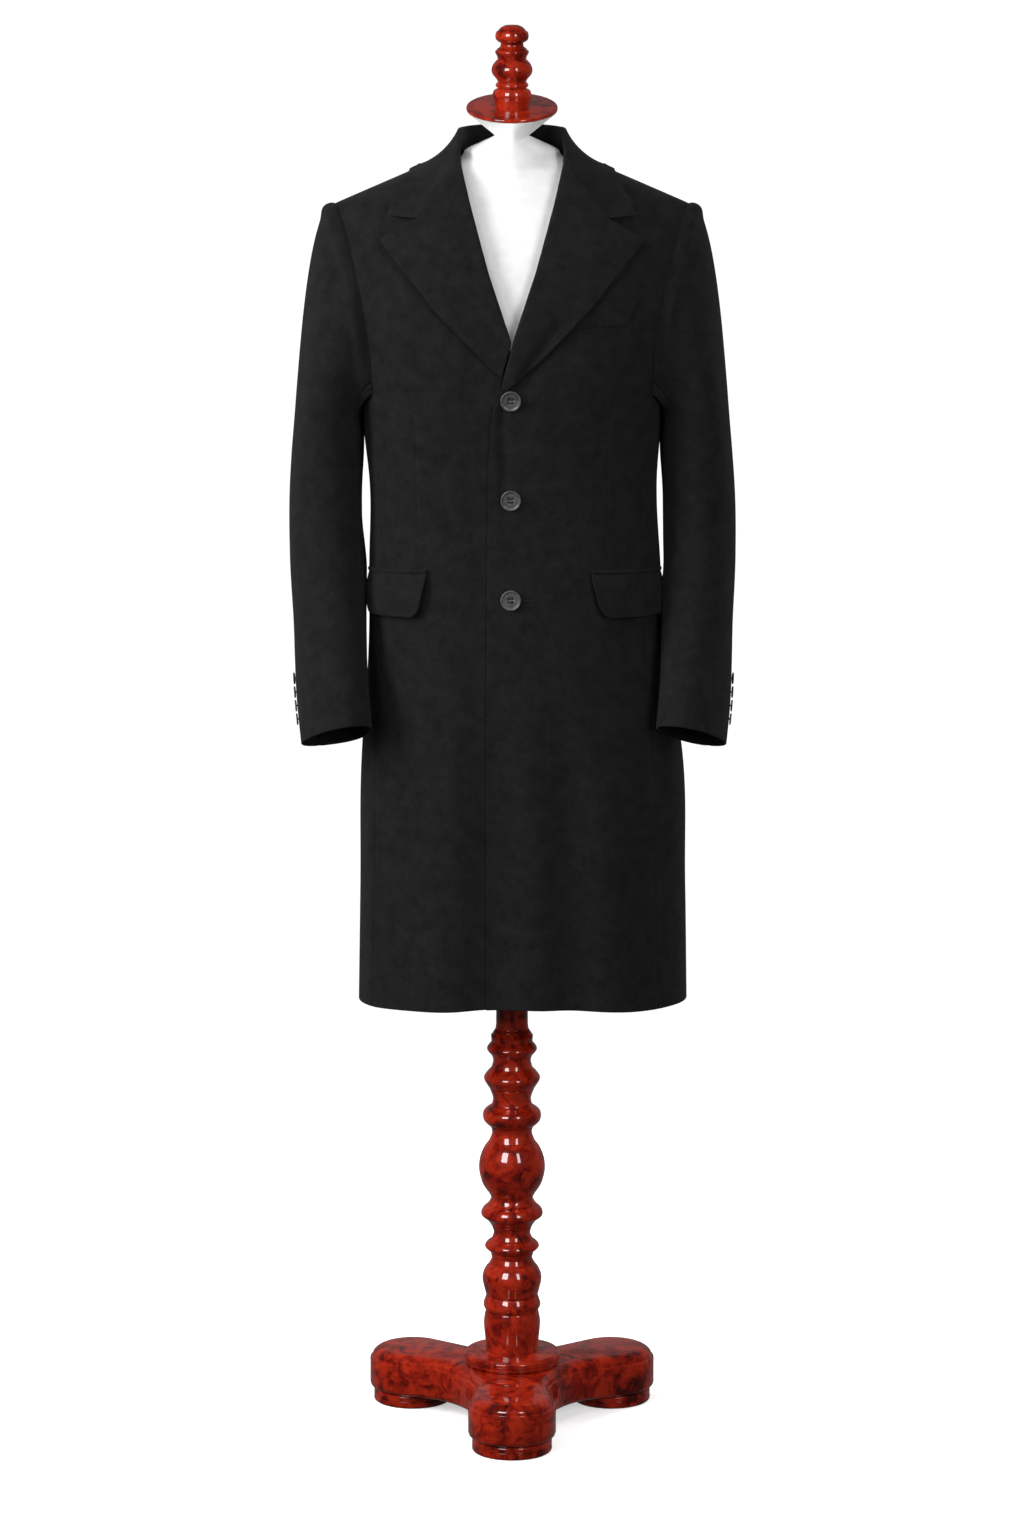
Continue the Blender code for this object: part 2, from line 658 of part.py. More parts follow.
def lapel_grid(side, ends):
    """Face of a lapel from the edge of its front round the fold to its outer edge."""
    span = np.linspace(0.0, 1.0, LAPEL_ROWS + 1)
    roll = polyline(cut_line(ROLL_LINE[::-1], ends[0]), span)
    outer = polyline(cut_line(LAPEL_EDGE, ends[1]), span ** 1.05)
    top_line = [tuple(roll[0]), LAPEL_NOTCH, LAPEL_EDGE[0]]
    fold_turns = np.radians([-90.0, -45.0, 0.0, 50.0, 90.0])
    gorge = math.dist(top_line[0], top_line[1])
    notch = gorge / (gorge + math.dist(top_line[1], top_line[2]))
    spread = np.array([0.2 * notch, 0.5 * notch, 0.8 * notch, notch, 0.5 + 0.5 * notch, 1.0])
    rows = []
    for order in range(LAPEL_ROWS + 1):
        start = roll[order]
        corner = math.exp(-(order / 1.1) ** 2)
        bent = polyline(top_line, np.concatenate([[0.0], spread]))
        bent = bent - bent[0] + start
        bent = bent + (outer[order] - bent[-1]) * np.concatenate([[0.0], spread])[:, None]
        plain = start + (outer[order] - start) * np.concatenate([[0.0], spread])[:, None]
        line = plain + (bent - plain) * corner
        line_z, line_x = line[:, 0], line[:, 1] * side
        base, out = front_surface(line_x, line_z, side)
        radius = float(roll_radius(start[0]))
        into = base[1] - base[0]
        into = into / np.linalg.norm(into)
        up = out[0] - into * np.dot(out[0], into)
        up = up / np.linalg.norm(up)
        fold = base[0] + up * (radius - WALL)
        curl = hook(fold, into, up, radius, fold_turns)
        away = np.linalg.norm(base[1:] - base[0], axis=1)
        low = WALL + LAPEL_LIFT
        high = 2 * radius - WALL
        lift = low + (high - low) * np.exp(-np.maximum(away - radius, 0.0) / LAPEL_SPRING)
        flat = base[1:] + out[1:] * lift[:, None]
        keep = away > radius * 1.15
        flat = np.where(keep[:, None], flat, curl[-1] + into * 0.0008 * np.arange(1, 7)[:, None])
        rows.append(np.concatenate([curl, flat]))
    return np.stack(rows)


def lapel(side, word):
    """Turned-out lapel lying on its front."""
    face = lapel_grid(side, LAPEL_ENDS[word])
    out = grid_out(face)
    if np.mean(out[:, -3, 1]) > 0:
        out = -out
    face = trim_edges(trim_edges(face, GAP, "l"), GORGE_GAP, "b")
    return shell(f"lapel_{word}", face, out, TRIM_WALL)


lapel(1, "left")
lapel(-1, "right")


def collar_columns():
    """Shares along the collar from the centre back to the gorge."""
    return np.linspace(0.0, 1.0, COLLAR_COLUMNS + 1)


def neck_edge(share):
    """Edge of the body panels that the collar stands on."""
    share = np.asarray(share, float)
    back_x = NECK_POINT_X * np.clip(share / RIDGE_SHARE, 0.0, 1.0)
    back_level = neck_level(back_x)
    back = body(angle_at(back_x, back_level, behind=True), back_level)
    table = centre_table()
    low = table[-2][0]
    ahead = np.clip((share - RIDGE_SHARE) / (1.0 - RIDGE_SHARE), 0.0, 1.0)
    level = YOKE_TOP - (YOKE_TOP - low) * ahead
    front_x = smooth_table(table, level)[..., 0]
    front = body(angle_at(front_x, level), level)
    return np.where((share < RIDGE_SHARE)[..., None], back, front)


def clear_of_body(points, need):
    """Points over the shoulders moved out to keep clear of the body."""
    x, y, z = np.moveaxis(points, -1, 0)
    tall = ridge_z(x) - YOKE_Z
    level = level_at(x, np.minimum(z, YOKE_Z + tall))
    _, half, front, back = np.moveaxis(smooth_table(BODY_LEVELS, level), -1, 0)
    deep = np.where(y < AXIS_Y, front, back)
    deep = deep * (1.0 - np.abs(x / half) ** PLAN_POWER) ** (1.0 / PLAN_POWER)
    reach = np.hypot(y - AXIS_Y, z - YOKE_Z)
    place = np.hypot((y - AXIS_Y) / deep, (z - YOKE_Z) / tall)
    scale = np.maximum(1.0, (1.0 + need / reach) / place)
    return np.stack([x, AXIS_Y + (y - AXIS_Y) * scale, YOKE_Z + (z - YOKE_Z) * scale], axis=-1)


def collar_half():
    """Face of the collar on the wearer's left, from its stand to its outer edge."""
    share = collar_columns()
    edge_x, edge_z = np.moveaxis(smooth_table(COLLAR_EDGE, share), -1, 0)
    edge_z = np.minimum(edge_z, ridge_z(edge_x))
    behind = share < RIDGE_SHARE
    back_point, back_out = at_place(edge_x, edge_z, behind=True)
    fore_point, fore_out = at_place(edge_x, edge_z)
    edge_out = np.where(behind[:, None], back_out, fore_out)
    edge = np.where(behind[:, None], back_point, fore_point) + edge_out * (TRIM_WALL + 0.0012)
    gorge = lapel_grid(1, LAPEL_ENDS["left"])[0]
    gorge_fold, gorge_notch = gorge[2], gorge[8]
    gorge_into = (0.5 * (gorge[0] + gorge[4]) - gorge_fold) / ROLL_RADIUS
    gorge_up = (gorge[4] - gorge[0]) / (2 * ROLL_RADIUS)
    fold_table = [(row[0], row[1], AXIS_Y + row[2], row[3]) for row in COLLAR_FOLD]
    fold_table.append((1.0, *gorge_fold))
    fold = smooth_table(fold_table, share)
    stand = neck_edge(share)
    rows = []
    fold_along = np.gradient(fold, axis=0)
    for column, part in enumerate(share):
        near_gorge = float(ease(0.72, 1.0, part))
        radius = COLLAR_RADIUS + (ROLL_RADIUS - COLLAR_RADIUS) * near_gorge
        middle = 0.5 * (fold[column] + edge[column]) - edge_out[column] * 0.002
        middle = middle + (gorge_notch - middle) * float(ease(0.66, 1.0, part)) ** 1.5
        into = middle - fold[column]
        into = into / np.linalg.norm(into)
        into = into + (gorge_into - into) * near_gorge
        into = into / np.linalg.norm(into)
        along = fold_along[column] / np.linalg.norm(fold_along[column])
        up = np.cross(along, into)
        up = up / np.linalg.norm(up)
        if np.dot(up, edge_out[column]) < 0:
            up = -up
        up = up + (gorge_up - up) * near_gorge
        up = up - into * np.dot(up, into)
        up = up / np.linalg.norm(up)
        curl = [hook(fold[column], into, up, radius, np.array([math.radians(turn)]))[0]
                for turn in (-90.0, 0.0, 90.0)]
        towards = np.array([0.0, AXIS_Y, stand[column][2]]) - stand[column]
        towards[2] = 0.0
        towards = towards / np.linalg.norm(towards)
        foot = stand[column] + towards * (TRIM_WALL + STAND_INSET)
        foot[2] += STAND_RAISE
        waist = 0.5 * (foot + curl[0])
        arc = [hook(fold[column], into, up, radius, np.array([math.radians(turn)]))[0]
               for turn in (-90.0, -62.0, -35.0)]
        lower = [foot, waist, curl[0]]
        lower = [one + (two - one) * near_gorge ** 2 for one, two in zip(lower, arc)]
        sharp = float(ease(0.80, 1.0, part))
        fall = []
        for step in (0.33, 0.66, 1.0, 1.5, 2.0):
            start, bend, end = curl[2], middle, edge[column]
            if step <= 1.0:
                straight = start + (bend - start) * step
            else:
                straight = bend + (end - bend) * (step - 1.0)
            t = step / 2.0
            control = 2.0 * bend - 0.5 * (start + end)
            curve = (1 - t) ** 2 * start + 2 * t * (1 - t) * control + t ** 2 * end
            fall.append(curve + (straight - curve) * sharp)
        fall = list(clear_of_body(np.stack(fall), FALL_CLEAR))
        rows.append(np.stack(lower + [curl[1], curl[2]] + fall))
    return np.stack(rows)


def mirror(grid):
    """The same points on the other side."""
    return grid * np.array([-1.0, 1.0, 1.0])


half = collar_half()
collar_face = np.concatenate([mirror(half)[:0:-1], half])
collar_out = grid_out(collar_face)
middle_row = collar_face.shape[0] // 2
if collar_out[middle_row, -2, 1] < 0:
    collar_out = -collar_out
collar_face = trim_edges(collar_face, GORGE_GAP, "tb")
shell("collar", collar_face, collar_out, TRIM_WALL)


def armhole_loop(word):
    """Edge points of the armhole from the shoulder down the front, under and up the back."""
    front = grids["front", word][0][SEAM_ROWS - 1:, -1][::-1]
    under = grids["side", word][0][-1]
    back = grids["back", word][0][SEAM_ROWS - 1:, 0]
    top = 0.5 * (front[0] + back[-1])
    front_low = 0.5 * (front[-1] + under[0])
    back_low = 0.5 * (under[-1] + back[0])
    loop = np.concatenate([[top], front[1:-1], [front_low], under[1:-1], [back_low], back[1:-1]])
    marks = (len(front) - 1, len(front) - 1 + len(under) - 1)
    return loop, marks


def ring(level, side, turns):
    """Ring of a sleeve at a height; turns are measured from its outer edge."""
    centre_x, centre_y, seen, deep, tilt = smooth_table(SLEEVE_LEVELS[::-1], np.array([level]))[0]
    tilt = math.radians(tilt)
    wide = math.sqrt(max(seen ** 2 - (deep * math.sin(tilt)) ** 2, 1e-5)) / math.cos(tilt)
    power = 2.0 / SLEEVE_POWER
    across = np.sign(np.cos(turns)) * np.abs(np.cos(turns)) ** power * wide
    ahead = np.sign(np.sin(turns)) * np.abs(np.sin(turns)) ** power * deep
    x = across * math.cos(tilt) + ahead * math.sin(tilt)
    y = -across * math.sin(tilt) + ahead * math.cos(tilt)
    cuff = float(ease(CUFF_TILT_FROM_Z, CUFF_TILT_FULL_Z, level))
    z = level + cuff * (CUFF_TILT_Y * y + CUFF_TILT_X * x)
    return np.stack([side * (centre_x + x), AXIS_Y + centre_y + y, z], axis=-1)


def sleeve_grid(word, side):
    """Face of a whole sleeve as rows from the armhole to the cuff."""
    loop, marks = armhole_loop(word)
    centre = loop.mean(axis=0)
    lengths = np.linalg.norm(np.roll(loop, -1, axis=0) - loop, axis=1)
    share = np.concatenate([[0.0], np.cumsum(lengths)[:-1]]) / lengths.sum()
    turns = -2 * math.pi * share
    inward = centre - loop
    inward[:, 0] = 0.0
    inward = inward / np.linalg.norm(inward, axis=1, keepdims=True)
    outward = np.array([side, 0.0, 0.0])
    start = loop + inward * (HALF_GAP + ARMHOLE_INSET) + outward * ARMHOLE_OUTSET
    first_level = SLEEVE_LEVELS[0][0]
    target = ring(first_level, side, turns)
    following = ring(first_level - 0.02, side, turns)
    reach = np.linalg.norm(target - start, axis=1, keepdims=True)
    down = (following - target) / np.linalg.norm(following - target, axis=1, keepdims=True)
    leave = outward * reach * SLEEVE_CAP_REACH
    rows = []
    for step in np.linspace(0.0, 1.0, SLEEVE_CAP_ROWS + 1)[:-1] ** 1.15:
        rows.append((1 + 2 * step) * (1 - step) ** 2 * start + step * (1 - step) ** 2 * leave
                    + step ** 2 * (3 - 2 * step) * target + step ** 2 * (step - 1) * down * reach)
    last_level = SLEEVE_LEVELS[-1][0]
    for step in np.linspace(0.0, 1.0, SLEEVE_ARM_ROWS + 1):
        level = first_level + (last_level - first_level) * step
        twist = math.radians(SLEEVE_TWIST) * float(ease(0.0, 1.0, step))
        rows.append(ring(level, side, turns - twist))
    return np.stack(rows), marks


def sleeve(word, side):
    """Top sleeve and under sleeve, split along the front and back seams."""
    face, marks = sleeve_grid(word, side)
    out = grid_out(face, around=True)
    if np.dot(out[-1, 0], [side, 0, 0]) < 0:
        out = -out
    columns = face.shape[1]
    front_cut, back_cut = marks[0] - 1, marks[1] + 2
    top = [column % columns for column in range(back_cut, columns + front_cut + 1)]
    under = list(range(front_cut, back_cut + 1))
    made = []
    for label, picks in (("sleeve_top", top), ("sleeve_under", under)):
        piece = trim_edges(face[:, picks], HALF_GAP, "lr")
        made.append(shell(f"{label}_{word}", piece, out[:, picks], WALL))
    return made


sleeves = {word: sleeve(word, side) for side, word in ((1, "left"), (-1, "right"))}


def tree_of(*objects):
    """Search tree over the faces of some objects."""
    points, faces = [], []
    for one in objects:
        offset = len(points)
        points.extend(vertex.co.copy() for vertex in one.data.vertices)
        faces.extend(tuple(index + offset for index in polygon.vertices) for polygon in one.data.polygons)
    return BVHTree.FromPolygons(points, faces)


def seat(tree, place, direction, reach=0.12):
    """Where a line from outside meets the cloth."""
    direction = Vector(direction).normalized()
    origin = Vector(place) - direction * reach
    return np.array(tree.ray_cast(origin, direction, 2 * reach)[0])


def over_body(grid, lift):
    """A grid on the body moved out by the lift."""
    out = grid_out(grid)
    if np.mean(out[..., 1]) > 0:
        out = -out
    return grid + out * lift, out


def flap(side, word):
    """Pocket flap with its jet above."""
    down = np.linspace(0.0, 1.0, FLAP_ROWS + 1)
    inner = angle_at(FLAP_INNER_X[word] * side, FLAP_TOP_Z)
    outer = side * math.radians(FLAP_OUTER_ANGLE)
    share = np.concatenate([[0.0, 0.025, 0.06], np.linspace(0.12, 1.0, FLAP_COLUMNS - 2)])
    angles = inner + (outer - inner) * share
    from_end = FLAP_LENGTH * np.minimum(share, 1.0 - share)
    short = np.clip(FLAP_CORNER - from_end, 0.0, FLAP_CORNER)
    rise = FLAP_CORNER - np.sqrt(FLAP_CORNER ** 2 - short ** 2)
    drop = FLAP_TOP_Z - FLAP_BOTTOM_Z - rise
    heights = FLAP_TOP_Z - down[:, None] * drop[None, :]
    grid = body(np.broadcast_to(angles, heights.shape), heights)
    grid[..., 0] += side * FLAP_SLANT * down[:, None] * (1.0 - share)[None, :]
    face, out = over_body(grid, TRIM_WALL + FLAP_CLEAR)
    shell(f"pocket_flap_{word}", face, out, TRIM_WALL)
    heights = np.array([FLAP_TOP_Z + JET_GAP, JET_TOP_Z])
    grid = body(angles[None, :], heights[:, None])
    face, out = over_body(grid, JET_WALL + FLAP_CLEAR)
    shell(f"pocket_jet_{word}", face, out, JET_WALL)


flap(1, "left")
flap(-1, "right")


def breast_welt():
    """Slanting welt of the breast pocket."""
    corners = np.array(WELT_CORNERS)
    share = np.linspace(0.0, 1.0, WELT_COLUMNS + 1)[:, None]
    top = corners[0] + (corners[1] - corners[0]) * share
    low = corners[3] + (corners[2] - corners[3]) * share
    places = np.stack([top, 0.5 * (top + low), low])
    grid, _ = at_place(places[..., 0], places[..., 1])
    face, out = over_body(grid, TRIM_WALL + WELT_CLEAR)
    shell("breast_welt", face, out, TRIM_WALL)


breast_welt()


def button(name, point, out, radius, segments, hole_sides):
    """Four-hole button with a raised rim, lying square to the cloth under it."""
    scale = radius / BUTTON_RADIUS
    points, faces = [], []
    for height, part in BUTTON_PROFILE:
        for step in range(segments):
            turn = 2 * math.pi * step / segments
            points.append((radius * part * math.sin(turn), radius * part * math.cos(turn), height * scale))
    for order in range(len(BUTTON_PROFILE) - 1):
        base = order * segments
        for step in range(segments):
            after = (step + 1) % segments
            faces.append((base + step, base + segments + step, base + segments + after, base + after))
    faces.append(tuple(range(segments)))
    faces.append(tuple(range(len(points) - 1, len(points) - 1 - segments, -1)))
    made = make_object(name, points, faces, HORN)
    direction = Vector(out).normalized()
    turn = direction.to_track_quat("Z", "Y").to_matrix().to_4x4()
    place = turn.copy()
    place.translation = Vector(point) + direction * BUTTON_LIFT
    made.data.transform(place)
    hole_points, hole_faces = [], []
    spread, hole_radius = HOLE_SPREAD * radius, HOLE_RADIUS * radius
    for sx, sy in ((-1, -1), (1, -1), (1, 1), (-1, 1)):
        offset = len(hole_points)
        for height in (-0.002, 0.008):
            for step in range(hole_sides):
                angle = 2 * math.pi * step / hole_sides
                hole_points.append((sx * spread + hole_radius * math.sin(angle),
                                    sy * spread + hole_radius * math.cos(angle), height))
        for step in range(hole_sides):
            after = (step + 1) % hole_sides
            hole_faces.append((offset + step, offset + after, offset + hole_sides + after,
                               offset + hole_sides + step))
        hole_faces.append(tuple(offset + step for step in range(hole_sides)))
        hole_faces.append(tuple(offset + 2 * hole_sides - 1 - step for step in range(hole_sides)))
    cutter = make_object(f"{name}_cutter", hole_points, hole_faces, HORN)
    cutter.data.transform(place)
    cutter.hide_render = True
    cutter.display_type = "WIRE"
    drill = made.modifiers.new("holes", "BOOLEAN")
    drill.operation = "DIFFERENCE"
    drill.solver = "EXACT"
    drill.object = cutter
    return made


front_tree = tree_of(coat_objects["front", "left"])
for number, height in enumerate(BUTTON_HEIGHTS, start=1):
    surface, out = at_place(np.array([BUTTON_X]), np.array([height]))
    spot = seat(front_tree, surface[0], (0, 1, 0))
    button(f"front_button_{number}", spot, out[0], BUTTON_RADIUS, 18, 5)

for side, word in ((1, "left"), (-1, "right")):
    cuff_tree = tree_of(*sleeves[word])
    for number, height in enumerate(CUFF_BUTTON_HEIGHTS, start=1):
        around = ring(height, side, np.radians(CUFF_BUTTON_ANGLE + np.array([-8.0, 0.0, 8.0])))
        lower = ring(height - 0.01, side, np.radians([CUFF_BUTTON_ANGLE]))[0]
        out = np.cross(around[2] - around[0], around[1] - lower)
        out = out / np.linalg.norm(out)
        if out[0] * side < 0:
            out = -out
        spot = seat(cuff_tree, around[1], -out, 0.03)
        button(f"cuff_button_{word}_{number}", spot, out, CUFF_BUTTON_RADIUS, 10, 4)


def seat_x(height):
    """Where a height meets the line just under the coat's shoulder ridge."""
    under = (WALL + SHOULDER_SEAT) * math.hypot(1.0, SHOULDER_SLOPE)
    return SHOULDER_X - (height + under - SHOULDER_Z) / SHOULDER_SLOPE


def form_torso():
    """Limbless form from the hips to the neck, closed below and leaning under its cap."""
    heights = [row[0] for row in FORM_LEVELS]
    points, faces = [], []
    turns = np.arange(FORM_SEGMENTS) * 2 * math.pi / FORM_SEGMENTS
    for height, half, front, back, power in FORM_LEVELS:
        half = min(half, seat_x(height))
        depth = np.where(np.cos(turns) > 0, front, back)
        reach = (np.abs(np.sin(turns) / half) ** power
                 + np.abs(np.cos(turns) / depth) ** power) ** (-1.0 / power)
        for turn, length in zip(turns, reach):
            points.append((length * math.sin(turn), AXIS_Y - length * math.cos(turn), height))
    under_cap = CAP_Z - (CAP_THICK / 2 + GAP) / math.cos(CAP_LEAN)
    for turn in turns:
        x, y = CAP_RADIUS * 0.995 * math.sin(turn), -CAP_RADIUS * math.cos(turn) * math.cos(CAP_LEAN)
        points.append((x, AXIS_Y + CAP_CENTRE_BACK + y, under_cap + y * math.tan(CAP_LEAN)))
    rings = len(heights) + 1
    for order in range(rings - 1):
        base = order * FORM_SEGMENTS
        for step in range(FORM_SEGMENTS):
            after = (step + 1) % FORM_SEGMENTS
            faces.append((base + step, base + after, base + FORM_SEGMENTS + after,
                          base + FORM_SEGMENTS + step))
    faces.append(tuple(range(FORM_SEGMENTS)))
    faces.append(tuple(range(len(points) - 1, len(points) - 1 - FORM_SEGMENTS, -1)))
    return make_object("form_torso", points, faces, COVER)


form_torso()


def neck_cap():
    """Lacquered disc that closes the neck, leaning forward."""
    segments = CAP_SEGMENTS
    points, faces = [], []
    for share, part in CAP_PROFILE:
        for step in range(segments):
            turn = 2 * math.pi * step / segments
            x, across = CAP_RADIUS * part * math.sin(turn), -CAP_RADIUS * part * math.cos(turn)
            thick = share * CAP_THICK
            y = across * math.cos(CAP_LEAN) - thick * math.sin(CAP_LEAN)
            z = across * math.sin(CAP_LEAN) + thick * math.cos(CAP_LEAN)
            points.append((x, AXIS_Y + CAP_CENTRE_BACK + y, CAP_Z + z))
    for order in range(len(CAP_PROFILE) - 1):
        base = order * segments
        for step in range(segments):
            after = (step + 1) % segments
            faces.append((base + step, base + after, base + segments + after, base + segments + step))
    faces.append(tuple(range(segments)))
    faces.append(tuple(range(len(points) - 1, len(points) - 1 - segments, -1)))
    return make_object("neck_cap", points, faces, LACQUER)


neck_cap()

cap_top = CAP_Z + (CAP_THICK / 2 + GAP) / math.cos(CAP_LEAN) - CAP_CENTRE_BACK * math.tan(CAP_LEAN)
finial_profile = [(cap_top, FINIAL_PROFILE[0][1])] + FINIAL_PROFILE[1:]
lathe("finial", finial_profile, 14, (0.0, AXIS_Y), LACQUER, bottom_lean=CAP_LEAN)

column_profile = [
    (FLANGE_Z, FLANGE_RADIUS - 0.0030), (FLANGE_Z + 0.0030, FLANGE_RADIUS - 0.0010),
    (FLANGE_Z + 0.0060, FLANGE_RADIUS - 0.0010), (FLANGE_Z + 0.0080, FLANGE_RADIUS),
    (FLANGE_Z + 0.0120, FLANGE_RADIUS),
] + COLUMN_PROFILE + [
    (0.7800, PLATE_RADIUS), (PLATE_TOP_Z, PLATE_RADIUS),
]
lathe("column", column_profile, COLUMN_SEGMENTS, (0.0, AXIS_Y), LACQUER)


def base_outline(inset):
    """Outline of the three legs, drawn in by the inset."""
    far = LEG_RADIUS - inset
    half_turn = math.pi / 3
    clear = WAIST_CLEAR - inset
    reach = LEG_REACH
    # circle that hollows the side between two legs, touching both leg circles
    over = (reach ** 2 - (far - clear) ** 2) / (2 * (reach * math.cos(half_turn) + far - clear))
    hollow = over - clear
    points = []
    for leg in range(3):
        heading = -math.pi / 2 + leg * 2 * math.pi / 3
        for step in range(9):
            turn = heading - LEG_ARC + 2 * LEG_ARC * step / 8
            points.append((reach * math.cos(heading) + far * math.cos(turn),
                           reach * math.sin(heading) + far * math.sin(turn)))
        between = heading + half_turn
        centre = (over * math.cos(between), over * math.sin(between))
        for step in range(1, 6):
            turn = between + math.pi + 0.95 * (0.5 - step / 6)
            points.append((centre[0] + hollow * math.cos(turn), centre[1] + hollow * math.sin(turn)))
    return points


def base():
    """Three-legged base with a moulded upper edge."""
    points, faces = [], []
    for inset, height in BASE_EDGE:
        points.extend((x, AXIS_Y + y, height) for x, y in base_outline(inset))
    count = len(base_outline(0.0))
    for order in range(len(BASE_EDGE) - 1):
        start = order * count
        for step in range(count):
            after = (step + 1) % count
            faces.append((start + step, start + after, start + count + after, start + count + step))
    faces.append(tuple(range(count)))
    faces.append(tuple(range(len(points) - 1, len(points) - 1 - count, -1)))
    return make_object("base", points, faces, LACQUER)


base()
for leg, word in enumerate(("front", "left", "right")):
    heading = -math.pi / 2 + leg * 2 * math.pi / 3
    centre = (LEG_REACH * math.cos(heading), AXIS_Y + LEG_REACH * math.sin(heading))
    lathe(f"foot_{word}", FOOT_PROFILE, 16, centre, LACQUER)
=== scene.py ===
"""Looks of the long notch lapel coat on its dress form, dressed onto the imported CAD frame.

Metres, Z up. The coat faces -Y and the wearer's left side is +X.
"""
import logging
import math
from dataclasses import dataclass
from enum import Enum

import bmesh
import bpy
import numpy as np
from bpy.types import ID, Material, Node, NodeSocket, Object, World
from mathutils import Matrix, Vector
from mathutils.bvhtree import BVHTree


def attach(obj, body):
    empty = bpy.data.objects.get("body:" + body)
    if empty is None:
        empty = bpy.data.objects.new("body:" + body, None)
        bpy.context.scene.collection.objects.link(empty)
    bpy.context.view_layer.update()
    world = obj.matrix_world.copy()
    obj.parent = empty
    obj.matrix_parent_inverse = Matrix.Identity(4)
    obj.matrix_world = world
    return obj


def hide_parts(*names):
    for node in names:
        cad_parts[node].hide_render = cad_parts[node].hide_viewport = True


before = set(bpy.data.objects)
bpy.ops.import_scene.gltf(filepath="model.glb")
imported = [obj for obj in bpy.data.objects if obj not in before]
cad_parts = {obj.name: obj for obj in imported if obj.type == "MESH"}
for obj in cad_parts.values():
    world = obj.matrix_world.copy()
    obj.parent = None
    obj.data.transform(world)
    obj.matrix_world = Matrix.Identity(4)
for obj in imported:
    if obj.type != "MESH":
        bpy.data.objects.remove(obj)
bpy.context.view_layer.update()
LOG = logging.getLogger("coat")
# Short name for the type hints
Array = np.ndarray

# Place of the stand's axis, walls of the cloth and half the gap at the armhole, as in the CAD
AXIS_Y = 0.025
WALL = 0.0020
TRIM_WALL = 0.0018
HALF_GAP = 0.0002
# How far the rolled edge of a seam is pressed over its line, so that no light shows through
SEAM_PRESS = 0.00005
# Name of the body that the pieces ride on, and names of the material slots. Least length that is
# stated for a cut, and share of its area, which keeps it below width by length
ROOT = "root"
COAT_SLOT, HORN_SLOT, COVER_SLOT, WOOD_SLOT = "coat_cloth", "button_horn", "form_cover", "stand_wood"

# height, centre x, half width, front depth, back depth of the coat's body
BODY_LEVELS = (
    (0.545, 0.0135, 0.2030, 0.1420, 0.1440),
    (0.700, 0.0135, 0.2005, 0.1390, 0.1420),
    (0.880, 0.0120, 0.1970, 0.1350, 0.1390),
    (0.950, 0.0085, 0.1890, 0.1320, 0.1350),
    (1.010, 0.0060, 0.1840, 0.1285, 0.1290),
    (1.110, 0.0033, 0.1805, 0.1225, 0.1160),
    (1.180, 0.0020, 0.1775, 0.1200, 0.1070),
    (1.250, 0.0005, 0.1800, 0.1225, 0.1090),
    (1.305, 0.0000, 0.1840, 0.1275, 0.1160),
    (1.340, 0.0000, 0.1900, 0.1305, 0.1210),
    (1.380, 0.0000, 0.2050, 0.1325, 0.1245),
    (1.420, 0.0000, 0.2205, 0.1330, 0.1260),
    (1.470, 0.0000, 0.2255, 0.1330, 0.1260),
    (1.630, 0.0000, 0.2350, 0.1330, 0.1260),
)
# height, x of the front edge below the roll line
FRONT_EDGE = (
    (0.545, -0.0316), (1.026, -0.0300), (1.141, -0.0294), (1.212, -0.0283),
    (1.265, -0.0266), (1.299, -0.0235), (1.318, -0.0180),
)
# height, x of the fold of the lapel
ROLL_LINE = (
    (1.3270, -0.0140), (1.3564, -0.0080), (1.4000, 0.0035),
    (1.4743, 0.0285), (1.5547, 0.0510), (1.5985, 0.0616),
)
# height, x of the outer edge of the lapel from its point down
LAPEL_EDGE = (
    (1.5085, 0.1568), (1.5035, 0.1545), (1.4570, 0.1150), (1.4325, 0.0962),
    (1.3966, 0.0610), (1.3612, 0.0265), (1.3379, -0.0012), (1.3290, -0.0110),
)
LAPEL_NOTCH = (1.5328, 0.1148)
# x and height of the armhole seam in front and behind
ARM_FRONT = (
    (0.1715, 1.3180), (0.1722, 1.3400), (0.1775, 1.3800),
    (0.1860, 1.4400), (0.1970, 1.4920), (0.2090, 1.5330),
)
ARM_BACK = (
    (0.1735, 1.3180), (0.1755, 1.3400), (0.1825, 1.3850),
    (0.1905, 1.4400), (0.1995, 1.4920), (0.2095, 1.5310),
)
# height, plan angle in degrees of the long side seams
SEAM_LEFT_FRONT = ((0.545, 61.5), (0.890, 62.0), (1.100, 66.0), (1.3180, 71.5))
SEAM_RIGHT_FRONT = ((0.545, 70.0), (0.890, 69.0), (1.100, 69.5), (1.3180, 71.5))
SEAM_BACK = ((0.545, 112.0), (0.890, 113.0), (1.100, 116.0), (1.3180, 107.5))
# height, x of the front dart; heights of its ends and how far it fades there
DART_LINE = ((1.112, 0.1155), (1.168, 0.1160), (1.231, 0.1165), (1.275, 0.1180), (1.330, 0.1258))
DART_ENDS = (1.112, 1.352)
DART_FADES = (0.01, 0.03)
# for the wearer's left and right: heights where the lapel ends along its fold and its edge,
# and x of the inner end of the pocket
LAPEL_ENDS = ((1.3350, 1.3340), (1.3905, 1.3500))
POCKET_X = (0.0970, 0.1046)
# x and heights of the front buttons, turn in degrees and heights of the cuff buttons
FRONT_BUTTON_X = -0.0015
FRONT_BUTTONS = (1.3195, 1.1960, 1.0732)
CUFF_BUTTON_TURN = 40.0
CUFF_BUTTONS = (0.9735, 0.9580, 0.9425, 0.9270)
